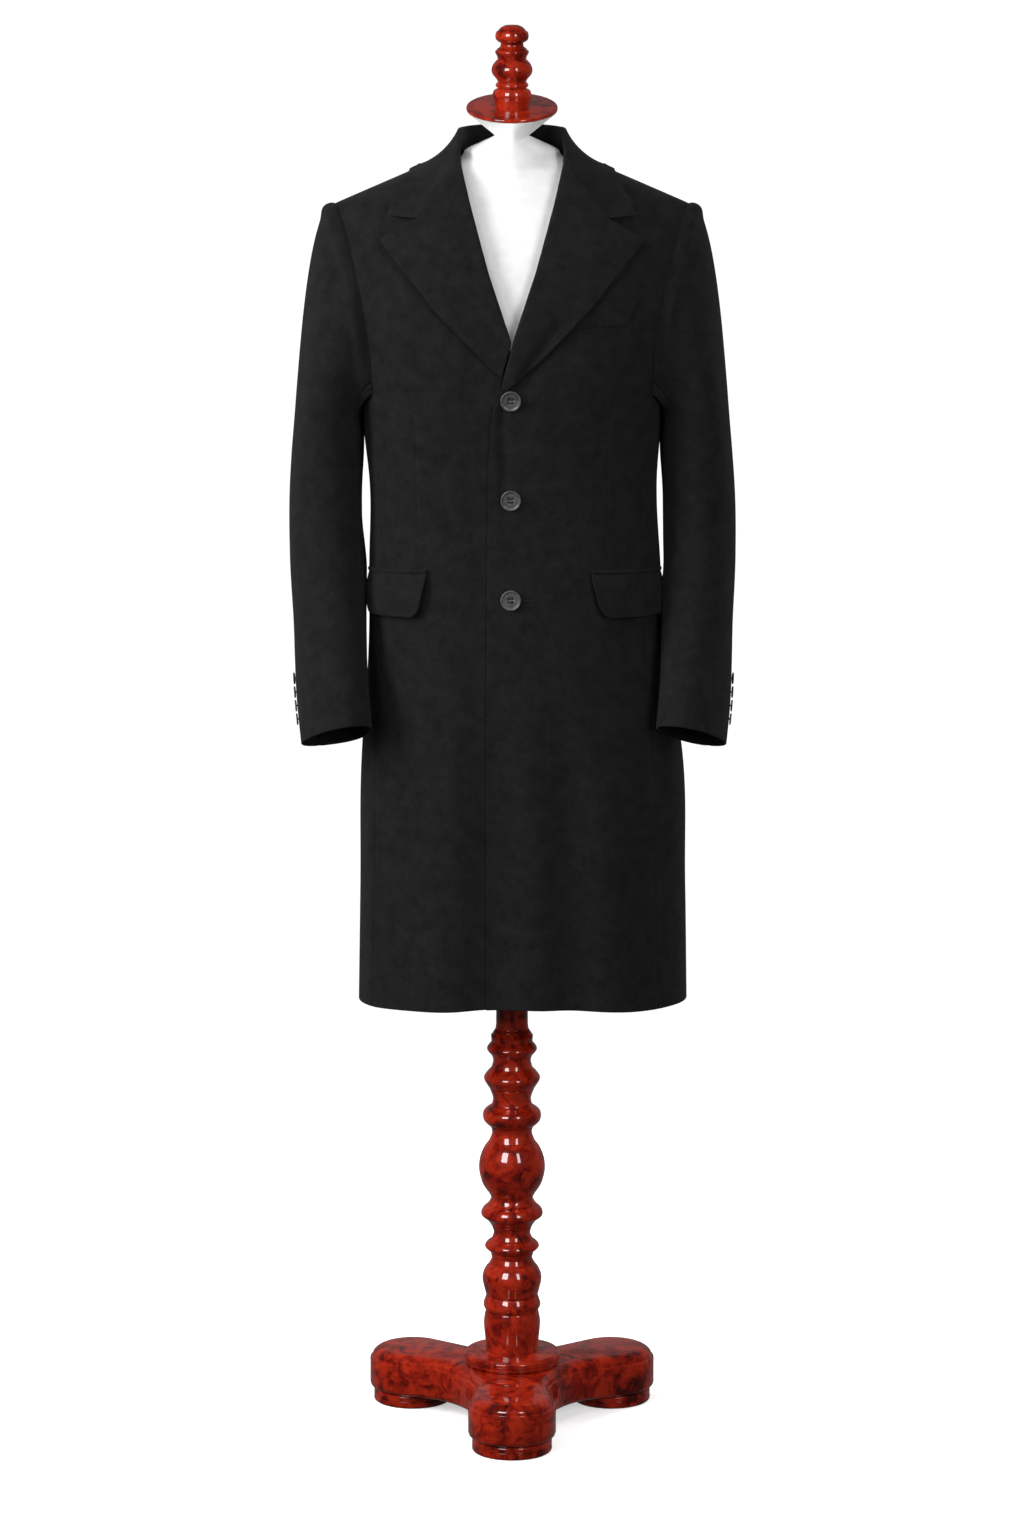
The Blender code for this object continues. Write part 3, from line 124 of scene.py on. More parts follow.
# height, centre x, centre y from the axis, half width seen, half depth, turn of the sleeve
SLEEVE_LEVELS = (
    (0.8985, 0.2212, -0.0900, 0.0430, 0.0525, 34.0),
    (0.9450, 0.2260, -0.0710, 0.0434, 0.0545, 31.0),
    (1.0000, 0.2286, -0.0470, 0.0436, 0.0565, 25.0),
    (1.0600, 0.2308, -0.0260, 0.0440, 0.0585, 18.0),
    (1.1200, 0.2316, -0.0090, 0.0445, 0.0605, 12.0),
    (1.1800, 0.2312, 0.0000, 0.0445, 0.0640, 6.0),
    (1.2400, 0.2288, 0.0030, 0.0437, 0.0690, 2.0),
    (1.2900, 0.2276, 0.0020, 0.0410, 0.0740, 0.0),
)
# share from the centre back to the gorge, x, height of the collar's outer edge
COLLAR_EDGE = (
    (0.00, 0.0000, 1.5820), (0.20, 0.0450, 1.5800), (0.40, 0.0850, 1.5790), (0.50, 0.1020, 1.5860),
    (0.60, 0.1165, 1.5980), (0.70, 0.1270, 1.5820), (0.80, 0.1370, 1.5620), (0.90, 0.1440, 1.5480),
    (1.00, 0.1480, 1.5351),
)
# share, x, y from the axis, height of the collar's fold
COLLAR_FOLD = (
    (0.00, 0.0000, 0.0610, 1.6400), (0.20, 0.0340, 0.0530, 1.6395), (0.40, 0.0570, 0.0300, 1.6385),
    (0.60, 0.0622, -0.0020, 1.6370), (0.80, 0.0630, -0.0270, 1.6215),
)
# height, half width, front depth, back depth, roundness of the form
FORM_LEVELS = (
    (0.8000, 0.1480, 0.1040, 0.1120, 2.25), (0.8060, 0.1560, 0.1090, 0.1180, 2.25),
    (0.8500, 0.1640, 0.1120, 0.1210, 2.25), (0.9300, 0.1650, 0.1130, 0.1180, 2.25),
    (1.0200, 0.1580, 0.1060, 0.1060, 2.25), (1.1000, 0.1470, 0.0990, 0.0920, 2.25),
    (1.1700, 0.1410, 0.0970, 0.0860, 2.25), (1.2400, 0.1480, 0.1030, 0.0910, 2.25),
    (1.3100, 0.1590, 0.1120, 0.0990, 2.25), (1.3800, 0.1720, 0.1180, 0.1060, 2.25),
    (1.4400, 0.1820, 0.1130, 0.1030, 2.20), (1.4900, 0.1900, 0.1010, 0.0940, 2.10),
    (1.5200, 0.1900, 0.0900, 0.0850, 2.00), (1.5400, 0.1870, 0.0800, 0.0770, 1.85),
    (1.5540, 0.1790, 0.0725, 0.0700, 1.70), (1.5660, 0.1700, 0.0665, 0.0650, 1.60),
    (1.5780, 0.1450, 0.0620, 0.0600, 1.50), (1.5880, 0.1180, 0.0585, 0.0565, 1.50),
    (1.5950, 0.0900, 0.0565, 0.0545, 1.60), (1.6020, 0.0670, 0.0560, 0.0535, 1.85),
    (1.6120, 0.0580, 0.0555, 0.0530, 2.00), (1.6300, 0.0560, 0.0555, 0.0530, 2.00),
)
# height, radius of the turned work; heights of its crisp edges and of its narrow grooves
FINIAL_PROFILE = (
    (1.6670, 0.0205), (1.6740, 0.0222), (1.6790, 0.0238), (1.6850, 0.0226),
    (1.6882, 0.0180), (1.6919, 0.0202), (1.6960, 0.0177), (1.6992, 0.0190),
    (1.7053, 0.0239), (1.7114, 0.0251), (1.7175, 0.0229), (1.7236, 0.0177),
    (1.7272, 0.0183), (1.7321, 0.0208), (1.7357, 0.0183), (1.7394, 0.0143),
    (1.7430, 0.0141), (1.7470, 0.0192), (1.7515, 0.0204), (1.7560, 0.0196),
    (1.7588, 0.0168), (1.7625, 0.0130), (1.7649, 0.0079),
)
FINIAL_CRISP = (1.6882, 1.6960, 1.7236, 1.7357, 1.7430, 1.7588)
COLUMN_PROFILE = (
    (0.0703, 0.0580), (0.0733, 0.0600), (0.0763, 0.0600), (0.0783, 0.0610), (0.0823, 0.0610),
    (0.0860, 0.0585), (0.0885, 0.0345), (0.0990, 0.0338), (0.1173, 0.0356),
    (0.1279, 0.0356), (0.1398, 0.0334), (0.1477, 0.0362), (0.1595, 0.0327),
    (0.1812, 0.0375), (0.1937, 0.0343), (0.2016, 0.0286),
    (0.2082, 0.0254), (0.2161, 0.0273), (0.2226, 0.0340), (0.2279, 0.0324),
    (0.2331, 0.0260), (0.2410, 0.0232), (0.2502, 0.0254), (0.2580, 0.0311),
    (0.2646, 0.0387), (0.2724, 0.0374), (0.2790, 0.0304), (0.2868, 0.0266),
    (0.2934, 0.0291), (0.3025, 0.0355), (0.3117, 0.0393), (0.3248, 0.0418),
    (0.3391, 0.0405), (0.3522, 0.0354), (0.3613, 0.0288), (0.3717, 0.0253),
    (0.3795, 0.0266), (0.3873, 0.0348), (0.3952, 0.0367), (0.4017, 0.0341),
    (0.4082, 0.0253), (0.4173, 0.0240), (0.4290, 0.0278),
    (0.4420, 0.0353), (0.4498, 0.0319), (0.4562, 0.0259), (0.4653, 0.0237),
    (0.4718, 0.0252), (0.4809, 0.0315), (0.4900, 0.0258), (0.4977, 0.0265),
    (0.5068, 0.0208), (0.5275, 0.0200), (0.7700, 0.0200), (0.7800, 0.0550), (0.7997, 0.0550),
)
COLUMN_GROOVES = (
    0.0885, 0.1398, 0.1595, 0.2016, 0.2161, 0.2331, 0.2502, 0.2790, 0.2934, 0.3613, 0.3795, 0.4082,
    0.4290, 0.4562, 0.4718, 0.4900, 0.4977, 0.5068,
)
COLUMN_CRISP = (
    0.0733, 0.0763, 0.0783, 0.0823, 0.0860, *COLUMN_GROOVES[:3], 0.2082, *COLUMN_GROOVES[4:],
    0.7700, 0.7800,
)
FOOT_PROFILE = (
    (0.0000, 0.0480), (0.0020, 0.0500), (0.0068, 0.0500), (0.0080, 0.0486),
    (0.0092, 0.0500), (0.0146, 0.0500), (0.0162, 0.0488),
)
FOOT_CRISP = (0.0068, 0.0080, 0.0092, 0.0146)


class Side(Enum):
    """Side of the coat as its wearer has it, with its sign along X."""

    LEFT = 1
    RIGHT = -1

    @property
    def word(self) -> str:
        """Name of the side in lower case."""
        return self.name.lower()


class Border(Enum):
    """Edge of a grid: the axis that leads away from it, and whether it is the last one."""

    FIRST_COLUMN = (1, False)
    LAST_COLUMN = (1, True)
    FIRST_ROW = (0, False)
    LAST_ROW = (0, True)

    def first(self, grid: Array) -> Array:
        """View of a grid turned so that this edge is its first column."""
        axis, last = self.value
        turned = grid if axis == 1 else np.swapaxes(grid, 0, 1)
        return turned[:, ::-1] if last else turned


class LampUse(Enum):
    """What a soft box does in the studio."""

    LIGHT = "lights the cloth"
    MIRRORED = "shows in polished faces"


def smooth_table(table: object, at: object) -> Array:
    """Values of a table at places of its first column, on a smooth curve.

    Args:
        table: Rows whose first column rises.
        at: Places to read.

    Returns:
        The other columns at those places.
    """
    rows = np.array(table, dtype=float)
    knots, values = rows[:, 0], rows[:, 1:]
    steps = np.diff(knots)
    secants = np.diff(values, axis=0) / steps[:, None]
    slopes = np.empty_like(values)
    slopes[0], slopes[-1] = secants[0], secants[-1]
    before, after = steps[:-1, None], steps[1:, None]
    slopes[1:-1] = (secants[:-1] * after + secants[1:] * before) / (before + after)
    at = np.clip(np.asarray(at, dtype=float), knots[0], knots[-1])
    index = np.clip(np.searchsorted(knots, at, side="right") - 1, 0, len(steps) - 1)
    width = steps[index]
    part = ((at - knots[index]) / width)[..., None]
    width = width[..., None]
    return ((1 + 2 * part) * (1 - part) ** 2 * values[index]
            + part * (1 - part) ** 2 * width * slopes[index]
            + part ** 2 * (3 - 2 * part) * values[index + 1]
            + part ** 2 * (part - 1) * width * slopes[index + 1])


def ease(low: float, high: float, at: object) -> Array:
    """Soft step from 0 at low to 1 at high; low may be the larger."""
    share = np.clip((np.asarray(at, dtype=float) - low) / (high - low), 0.0, 1.0)
    return share * share * (3.0 - 2.0 * share)


def unit(vectors: Array) -> Array:
    """The same vectors with a length of one."""
    return vectors / np.maximum(np.linalg.norm(vectors, axis=-1, keepdims=True), 1e-12)


def spaced(count: int, tight: float = 0.85) -> Array:
    """Shares from 0 to 1 that crowd towards both ends."""
    plain = np.linspace(0.0, 1.0, count)
    return plain - tight * np.sin(2 * math.pi * plain) / (2 * math.pi)


def full_turn(count: int) -> Array:
    """Even turns once round, in radians."""
    return np.arange(count) * 2 * math.pi / count


def xyz(x: object, y: object, z: object) -> Array:
    """Points from their coordinates, each an array or one value for all."""
    return np.stack(np.broadcast_arrays(x, y, z), axis=-1)


def polyline(points: object, share: object) -> Array:
    """Places along a broken line at shares of its length."""
    points = np.array(points, dtype=float)
    lengths = np.concatenate([[0.0], np.cumsum(np.linalg.norm(np.diff(points, axis=0), axis=1))])
    at = np.asarray(share) * lengths[-1]
    return np.stack([np.interp(at, lengths, points[:, k]) for k in range(points.shape[1])], axis=-1)


def cut_line(table: object, end: float) -> Array:
    """A line given from the top down, cut off at a height."""
    line = np.array(table, dtype=float)
    last = np.interp(end, line[::-1, 0], line[::-1, 1])
    return np.vstack([line[line[:, 0] > end], [end, last]])


def facing(grid: Array, towards: object, around: bool = False) -> Array:
    """Unit vectors square to a grid of points.

    Args:
        grid: Rows and columns of points.
        towards: Rough outward directions, one for all or one for each point.
        around: Whether the last column meets the first.

    Returns:
        One vector for each point.
    """
    if around:
        across = np.roll(grid, -1, axis=1) - np.roll(grid, 1, axis=1)
    else:
        across = np.gradient(grid, axis=1)
    out = unit(np.cross(across, np.gradient(grid, axis=0)))
    return out if np.sum(out * np.asarray(towards)) > 0 else -out


def distance_from(border: Border, grid: Array) -> Array:
    """Distance of each point of a grid from one of its edges, along its row or column."""
    lines = border.first(grid)
    steps = np.linalg.norm(np.diff(lines, axis=1), axis=-1)
    away = np.concatenate([np.zeros((len(lines), 1)), np.cumsum(steps, axis=1)], axis=1)
    made = np.empty(grid.shape[:2])
    border.first(made)[...] = away
    return made


@dataclass(frozen=True)
class Crease:
    """Soft ridge, or trough where its height is below zero, along a line over the cloth.

    Places are degrees round the piece and height.
    """

    start: tuple[float, float]
    end: tuple[float, float]
    width: float
    height: float
    fade_start: float = 0.35
    fade_end: float = 0.35

    def relief(self, degrees: Array, up: Array, radius: float) -> Array:
        """How far the crease lifts the cloth.

        Args:
            degrees: Places round the piece.
            up: Heights.
            radius: Radius that turns degrees into metres.

        Returns:
            The lift at each place.
        """
        scale = math.radians(1.0) * radius
        run = np.array([(self.end[0] - self.start[0]) * scale, self.end[1] - self.start[1]])
        across = ((degrees - self.start[0] + 180.0) % 360.0 - 180.0) * scale
        along = up - self.start[1]
        share = np.clip((across * run[0] + along * run[1]) / np.dot(run, run), 0.0, 1.0)
        away = np.hypot(across - share * run[0], along - share * run[1])
        lift = self.height * np.exp(-(away / self.width) ** 2)
        if self.fade_start:
            lift = lift * ease(0.0, self.fade_start, share)
        if self.fade_end:
            lift = lift * ease(1.0, 1.0 - self.fade_end, share)
        return lift


def total_relief(creases: tuple, degrees: Array, up: Array, radius: float) -> Array:
    """Sum of the lifts of several creases."""
    return sum((crease.relief(degrees, up, radius) for crease in creases), np.zeros(np.shape(up)))


class Nodes:
    """Short way to write the nodes of one material or of the world."""

    def __init__(self, owner: Material | World) -> None:
        """Start with the shader that its owner has from Blender."""
        owner.use_nodes = True
        self.owner = owner
        self.tree = owner.node_tree
        self.shader = self.tree.nodes.get("Principled BSDF") or self.tree.nodes["Background"]

    def add(self, kind: str, links: dict | None = None, **values: object) -> Node:
        """Add a node.

        Args:
            kind: Blender's name of the node type.
            links: Input name or number, and the socket that feeds it.
            values: Input values; names of node properties are set as such.

        Returns:
            The node.
        """
        node = self.tree.nodes.new(kind)
        for key, value in values.items():
            if hasattr(node, key):
                setattr(node, key, value)
            else:
                node.inputs[key.replace("_", " ")].default_value = value
        for key, socket in (links or {}).items():
            self.tree.links.new(socket, node.inputs[key])
        return node

    def texture(self, kind: str, place: NodeSocket, **values: object) -> NodeSocket:
        """Factor of a texture at a place."""
        return self.add(f"ShaderNodeTex{kind}", {"Vector": place}, **values).outputs["Fac"]

    def ramp(self, factor: NodeSocket, stops: tuple) -> NodeSocket:
        """Colours along a factor.

        Args:
            factor: Socket that picks the place.
            stops: Place and colour of each stop.

        Returns:
            The colour socket.
        """
        node = self.add("ShaderNodeValToRGB", {"Fac": factor})
        bar = node.color_ramp
        while len(bar.elements) < len(stops):
            bar.elements.new(0.5)
        for element, (place, colour) in zip(bar.elements, stops):
            element.position = place
            element.color = (*colour, 1.0)
        return node.outputs["Color"]

    def span(self, value: NodeSocket, low: float, high: float, source: tuple = (0.0, 1.0)) -> NodeSocket:
        """A value moved from one range into another."""
        node = self.add("ShaderNodeMapRange", {"Value": value}, From_Min=source[0], From_Max=source[1],
                        To_Min=low, To_Max=high)
        return node.outputs["Result"]

    def sum(self, one: NodeSocket, two: NodeSocket, share: float) -> NodeSocket:
        """One value plus a share of another."""
        node = self.add("ShaderNodeMath", {0: two, 2: one}, operation="MULTIPLY_ADD")
        node.inputs[1].default_value = share
        return node.outputs[0]

    def bump(self, height: NodeSocket, strength: float, distance: float) -> None:
        """Let a height bend the shader's normal."""
        node = self.add("ShaderNodeBump", {"Height": height}, Strength=strength, Distance=distance)
        self.tree.links.new(node.outputs["Normal"], self.shader.inputs["Normal"])

    def feed(self, name: str, socket: NodeSocket) -> None:
        """Link a socket to one of the shader's inputs."""
        self.tree.links.new(socket, self.shader.inputs[name])

    def fix(self, **values: object) -> None:
        """Set constant inputs of the shader."""
        for key, value in values.items():
            self.shader.inputs[key.replace("_", " ")].default_value = value


@dataclass(frozen=True)
class WoolCloth:
    """Smooth dark wool with a low nap over a fine twill."""

    name: str = "melton_wool"
    dark: tuple[float, float, float] = (0.0050, 0.0050, 0.0049)
    light: tuple[float, float, float] = (0.0150, 0.0149, 0.0145)
    twill_scale: float = 330.0
    nap_scale: float = 620.0
    drift_scale: float = 55.0
    twill_turn: float = math.radians(56.0)

    def material(self) -> Material:
        """Nodes for the nap, the twill under it and slow changes of tone."""
        nodes = Nodes(bpy.data.materials.new(self.name))
        place = nodes.add("ShaderNodeTexCoord")
        flat, solid = place.outputs["UV"], place.outputs["Object"]
        nap = nodes.texture("Noise", solid, Scale=self.nap_scale, Detail=3.0, Roughness=0.62)
        drift = nodes.texture("Noise", solid, Scale=self.drift_scale, Detail=5.0, Roughness=0.68)
        turned = nodes.add("ShaderNodeMapping", {"Vector": flat}, Rotation=(0.0, 0.0, self.twill_turn))
        twill = nodes.texture("Wave", turned.outputs["Vector"], Scale=self.twill_scale, Distortion=1.4,
                              Detail=1.0)
        tone = nodes.sum(nodes.span(drift, 0.2, 0.8, (0.3, 0.7)), nodes.span(nap, -0.5, 0.5), 1.3)
        nodes.feed("Base Color", nodes.ramp(tone, ((0.0, self.dark), (1.0, self.light))))
        nodes.feed("Roughness", nodes.span(nap, 0.84, 0.97))
        nodes.bump(nodes.sum(nap, twill, 0.35), 0.35, 0.0004)
        nodes.fix(Sheen_Weight=0.03, Sheen_Roughness=0.5, Specular_IOR_Level=0.08)
        return nodes.owner


@dataclass(frozen=True)
class HornFinish:
    """Grey polished horn with soft clouds."""

    name: str = "grey_horn"
    dark: tuple[float, float, float] = (0.034, 0.033, 0.033)
    light: tuple[float, float, float] = (0.078, 0.075, 0.074)

    def material(self) -> Material:
        """Nodes for the clouded horn."""
        nodes = Nodes(bpy.data.materials.new(self.name))
        solid = nodes.add("ShaderNodeTexCoord").outputs["Object"]
        cloud = nodes.texture("Noise", solid, Scale=160.0, Detail=5.0, Distortion=1.2)
        scratch = nodes.texture("Noise", solid, Scale=2600.0, Detail=2.0)
        nodes.feed("Base Color", nodes.ramp(cloud, ((0.32, self.dark), (0.68, self.light))))
        nodes.feed("Roughness", nodes.span(scratch, 0.34, 0.50))
        nodes.bump(scratch, 0.12, 0.0001)
        nodes.fix(Specular_IOR_Level=0.5, Coat_Weight=0.15, Coat_Roughness=0.25)
        return nodes.owner


@dataclass(frozen=True)
class ThreadFinish:
    """Twisted sewing thread."""

    name: str
    colour: tuple[float, float, float]

    def material(self) -> Material:
        """Nodes for the twist along the thread."""
        nodes = Nodes(bpy.data.materials.new(self.name))
        place = nodes.add("ShaderNodeTexCoord")
        twist = nodes.texture("Wave", place.outputs["UV"], Scale=260.0, Distortion=0.6,
                              bands_direction="DIAGONAL")
        fuzz = nodes.texture("Noise", place.outputs["Object"], Scale=2200.0, Detail=2.0)
        shade = tuple(0.6 * part for part in self.colour)
        tone = nodes.sum(twist, fuzz, 0.4)
        nodes.feed("Base Color", nodes.ramp(tone, ((0.1, shade), (0.9, self.colour))))
        nodes.feed("Roughness", nodes.span(fuzz, 0.55, 0.75))
        nodes.bump(twist, 0.5, 0.0001)
        nodes.fix(Sheen_Weight=0.1, Specular_IOR_Level=0.3)
        return nodes.owner


@dataclass(frozen=True)
class JerseyCover:
    """White jersey stretched over the form."""

    name: str = "white_jersey"
    dark: tuple[float, float, float] = (0.76, 0.76, 0.755)
    light: tuple[float, float, float] = (0.84, 0.84, 0.835)

    def material(self) -> Material:
        """Nodes for the fine knit."""
        nodes = Nodes(bpy.data.materials.new(self.name))
        place = nodes.add("ShaderNodeTexCoord")
        knit = nodes.texture("Wave", place.outputs["UV"], Scale=280.0, Distortion=2.0, Detail=1.0)
        soft = nodes.texture("Noise", place.outputs["Object"], Scale=60.0, Detail=4.0)
        nodes.feed("Base Color", nodes.ramp(soft, ((0.3, self.dark), (0.7, self.light))))
        nodes.feed("Roughness", nodes.span(soft, 0.72, 0.88))
        nodes.bump(nodes.sum(knit, soft, 0.5), 0.12, 0.0003)
        nodes.fix(Sheen_Weight=0.1, Specular_IOR_Level=0.2)
        return nodes.owner


@dataclass(frozen=True)
class LacquerFinish:
    """Marbled red-brown burl under a glossy lacquer."""

    name: str = "burl_lacquer"
    grain_scale: float = 30.0
    colours: tuple = (
        (0.24, (0.012, 0.004, 0.003)),
        (0.35, (0.090, 0.0026, 0.0009)),
        (0.45, (0.215, 0.0082, 0.0020)),
        (0.58, (0.345, 0.0185, 0.0042)),
        (0.72, (0.375, 0.0225, 0.0052)),
        (0.84, (0.240, 0.0095, 0.0024)),
    )

    def material(self) -> Material:
        """Nodes for the swirled grain, dark veins and the gloss coat."""
        nodes = Nodes(bpy.data.materials.new(self.name))
        solid = nodes.add("ShaderNodeTexCoord").outputs["Object"]
        swirl = nodes.texture("Noise", solid, Scale=self.grain_scale, Detail=6.0, Roughness=0.55,
                              Distortion=1.7)
        fleck = nodes.texture("Noise", solid, Scale=self.grain_scale * 5.0, Detail=4.0, Distortion=1.0)
        mixed = nodes.sum(swirl, nodes.span(fleck, -0.5, 0.5), 0.35)
        nodes.feed("Base Color", nodes.ramp(mixed, self.colours))
        nodes.feed("Roughness", nodes.span(fleck, 0.30, 0.42))
        nodes.bump(fleck, 0.02, 0.0002)
        nodes.fix(Specular_IOR_Level=0.10, Coat_Weight=1.0, Coat_Roughness=0.04, Coat_IOR=1.7)
        return nodes.owner


def put(name: str, data: ID) -> Object:
    """New object in the scene."""
    made = bpy.data.objects.new(name, data)
    bpy.context.scene.collection.objects.link(made)
    return made


def link_mesh(name: str, points: Array, faces: list, surface: Material,
              flat: Array | None = None, crisp: float | None = None) -> Object:
    """Make an object from points and faces, with its normals facing out.

    Args:
        name: Name of the piece.
        points: Its points.
        faces: Point numbers of each face.
        surface: Its material.
        flat: Places of the points on the flat cloth, in metres.
        crisp: Angle in degrees from which an edge is drawn sharp.

    Returns:
        The object.
    """
    mesh = bpy.data.meshes.new(name)
    mesh.from_pydata(np.asarray(points).tolist(), [], faces)
    if flat is not None:
        layer = mesh.uv_layers.new(name="flat")
        order = np.empty(len(mesh.loops), dtype=np.int32)
        mesh.loops.foreach_get("vertex_index", order)
        layer.data.foreach_set("uv", np.asarray(flat, dtype=np.float32)[order].ravel())
    work = bmesh.new()
    work.from_mesh(mesh)
    bmesh.ops.recalc_face_normals(work, faces=work.faces)
    work.to_mesh(mesh)
    work.free()
    mesh.shade_smooth()
    if crisp is not None:
        mesh.set_sharp_from_angle(angle=math.radians(crisp))
    mesh.materials.append(surface)
    return put(name, mesh)


def settle(piece: Object, slot: str, *nodes: str) -> Object:
    """Let a piece ride on the part, log its material slot and stand for CAD nodes.

    Args:
        piece: The finished piece.
        slot: Material slot, which is only logged.
        nodes: CAD nodes that it stands for.

    Returns:
        The piece.
    """
    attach(piece, ROOT)
    if nodes:
        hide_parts(*nodes)
    LOG.info("%s: %d points, slot %s, for %s", piece.name, len(piece.data.vertices), slot,
             ", ".join(nodes) or "no node")
    return piece


def strips(rings: list) -> list:
    """Faces between rings of point numbers that follow one another round a loop."""
    faces = []
    for near, far in zip(rings, rings[1:]):
        faces += np.stack([near, np.roll(near, -1), np.roll(far, -1), far], axis=-1).tolist()
    return faces


def closed_skin(rings: object, offset: int = 0) -> tuple[Array, list]:
    """Points and faces of a skin over rings of points, with a flat face on each end.

    Args:
        rings: Rings with the same number of points.
        offset: Number of the first point.

    Returns:
        Points and faces.
    """
    points = np.concatenate(rings)
    index = offset + np.arange(len(points)).reshape(len(rings), -1)
    return points, strips(list(index)) + [index[0].tolist(), index[-1][::-1].tolist()]


@dataclass
class ClothPiece:
    """Cloth of even thickness under a grid of face points, with rounded edges.

    Attributes:
        name: Name of the piece.
        face: Rows and columns of points on its face.
        towards: Rough outward directions.
        wall: Thickness.
        seams: Edges that are sewn to a neighbour.
        seam_dip: How deep the face sinks at a seam.
        seam_reach: How far from a seam it sinks.
        roll: How far a free edge bulges.
        seam_roll: How far a sewn edge bulges.
        draw_reach: How far from a seam the cloth is drawn in to make room for the bulge.
    """

    name: str
    face: Array
    towards: object
    wall: float = WALL
    seams: tuple = ()
    seam_dip: float = 0.0006
    seam_reach: float = 0.0028
    roll: float = 0.0007
    seam_roll: float = 0.0003
    draw_reach: float = 0.006

    def flat_size(self) -> tuple[float, float, float]:
        """Width, length and area of the cut, measured over the face."""
        across = np.diff(self.face, axis=1)
        along = np.diff(self.face, axis=0)
        width = float(np.max(np.sum(np.linalg.norm(across, axis=-1), axis=1)))
        length = float(np.max(np.sum(np.linalg.norm(along, axis=-1), axis=0)))
        cells = np.linalg.norm(np.cross(across[:-1], along[:, :-1]), axis=-1)
        return width, length, min(float(np.sum(cells)), width * length)

    def settled_face(self) -> tuple[Array, Array]:
        """Face with its seams drawn in and sunk, and the directions out of it."""
        face = self.face.copy()
        out = facing(face, self.towards)
        dip = np.zeros(face.shape[:2])
        for border in self.seams:
            away = distance_from(border, face)
            lines = border.first(face)
            inwards = unit(lines[:, 1:2] - lines[:, 0:1])
            drawn = (self.seam_roll - SEAM_PRESS) * np.exp(-border.first(away) / self.draw_reach)
            lines += inwards * drawn[..., None]
            dip = np.maximum(dip, self.seam_dip * np.exp(-(away / self.seam_reach) ** 2))
        face -= out * dip[..., None]
        return face, facing(face, self.towards)

    def build(self, surface: Material) -> Object:
        """Make the closed cloth.

        Args:
            surface: Material of the cloth.

        Returns:
            The object.
        """
        face, out = self.settled_face()
        rows, columns = face.shape[:2]
        index = np.arange(rows * columns).reshape(rows, columns)
        rim = np.concatenate([index[0], index[1:, -1], index[-1, -2::-1], index[-2:0:-1, 0]])
        front, away = face.reshape(-1, 3), out.reshape(-1, 3)
        edge, edge_out = front[rim], away[rim]
        side = unit(np.cross(np.roll(edge, -1, axis=0) - np.roll(edge, 1, axis=0), edge_out))
        if np.sum(side[:columns] * (face[0] - face[1])) < 0:
            side = -side
        rolls = np.full((rows, columns), self.roll)
        for border in self.seams:
            border.first(rolls)[:, 0] = self.seam_roll
        side = side * rolls.ravel()[rim][:, None]
        rings, points = [rim], [front, front - away * self.wall]
        half = self.wall / 2
        for order, turn in enumerate(np.radians([45.0, 90.0, 135.0])):
            points.append(edge - edge_out * half * (1 - math.cos(turn)) + side * math.sin(turn))
            rings.append(2 * rows * columns + order * len(rim) + np.arange(len(rim)))
        rings.append(rim + rows * columns)
        grid = np.stack([index[:-1, :-1], index[:-1, 1:], index[1:, 1:], index[1:, :-1]], axis=-1)
        grid = grid.reshape(-1, 4)
        faces = grid.tolist() + (grid[:, ::-1] + rows * columns).tolist() + strips(rings)
        corner = (Border.FIRST_COLUMN, Border.FIRST_ROW)
        flat = np.stack([distance_from(border, face) for border in corner], axis=-1).reshape(-1, 2)
        flat = np.concatenate([flat, flat] + [flat[rim]] * 3)
        return link_mesh(self.name, np.concatenate(points), faces, surface, flat)

    def settled(self, surface: Material, node: str) -> tuple:
        """Make the cloth in place of a CAD node and return its object and this piece."""
        return settle(self.build(surface), COAT_SLOT, node), self


def declare_cloth(made: Object, piece: ClothPiece, held: str, rests_on: list,
                  with_pieces: list | None = None) -> None:
    """State the cut of a cloth piece, measured over its face without wall.

    Args:
        made: The object.
        piece: The cloth that it was made from.
        held: How it is held; not used.
        rests_on: Names of what carries it; not used.
        with_pieces: Separate pieces on it; not used.
    """
    width, length, area = piece.flat_size()
    LOG.info("%s: cut %.3f by %.3f m, area %.4f m2", made.name, width, length, area)


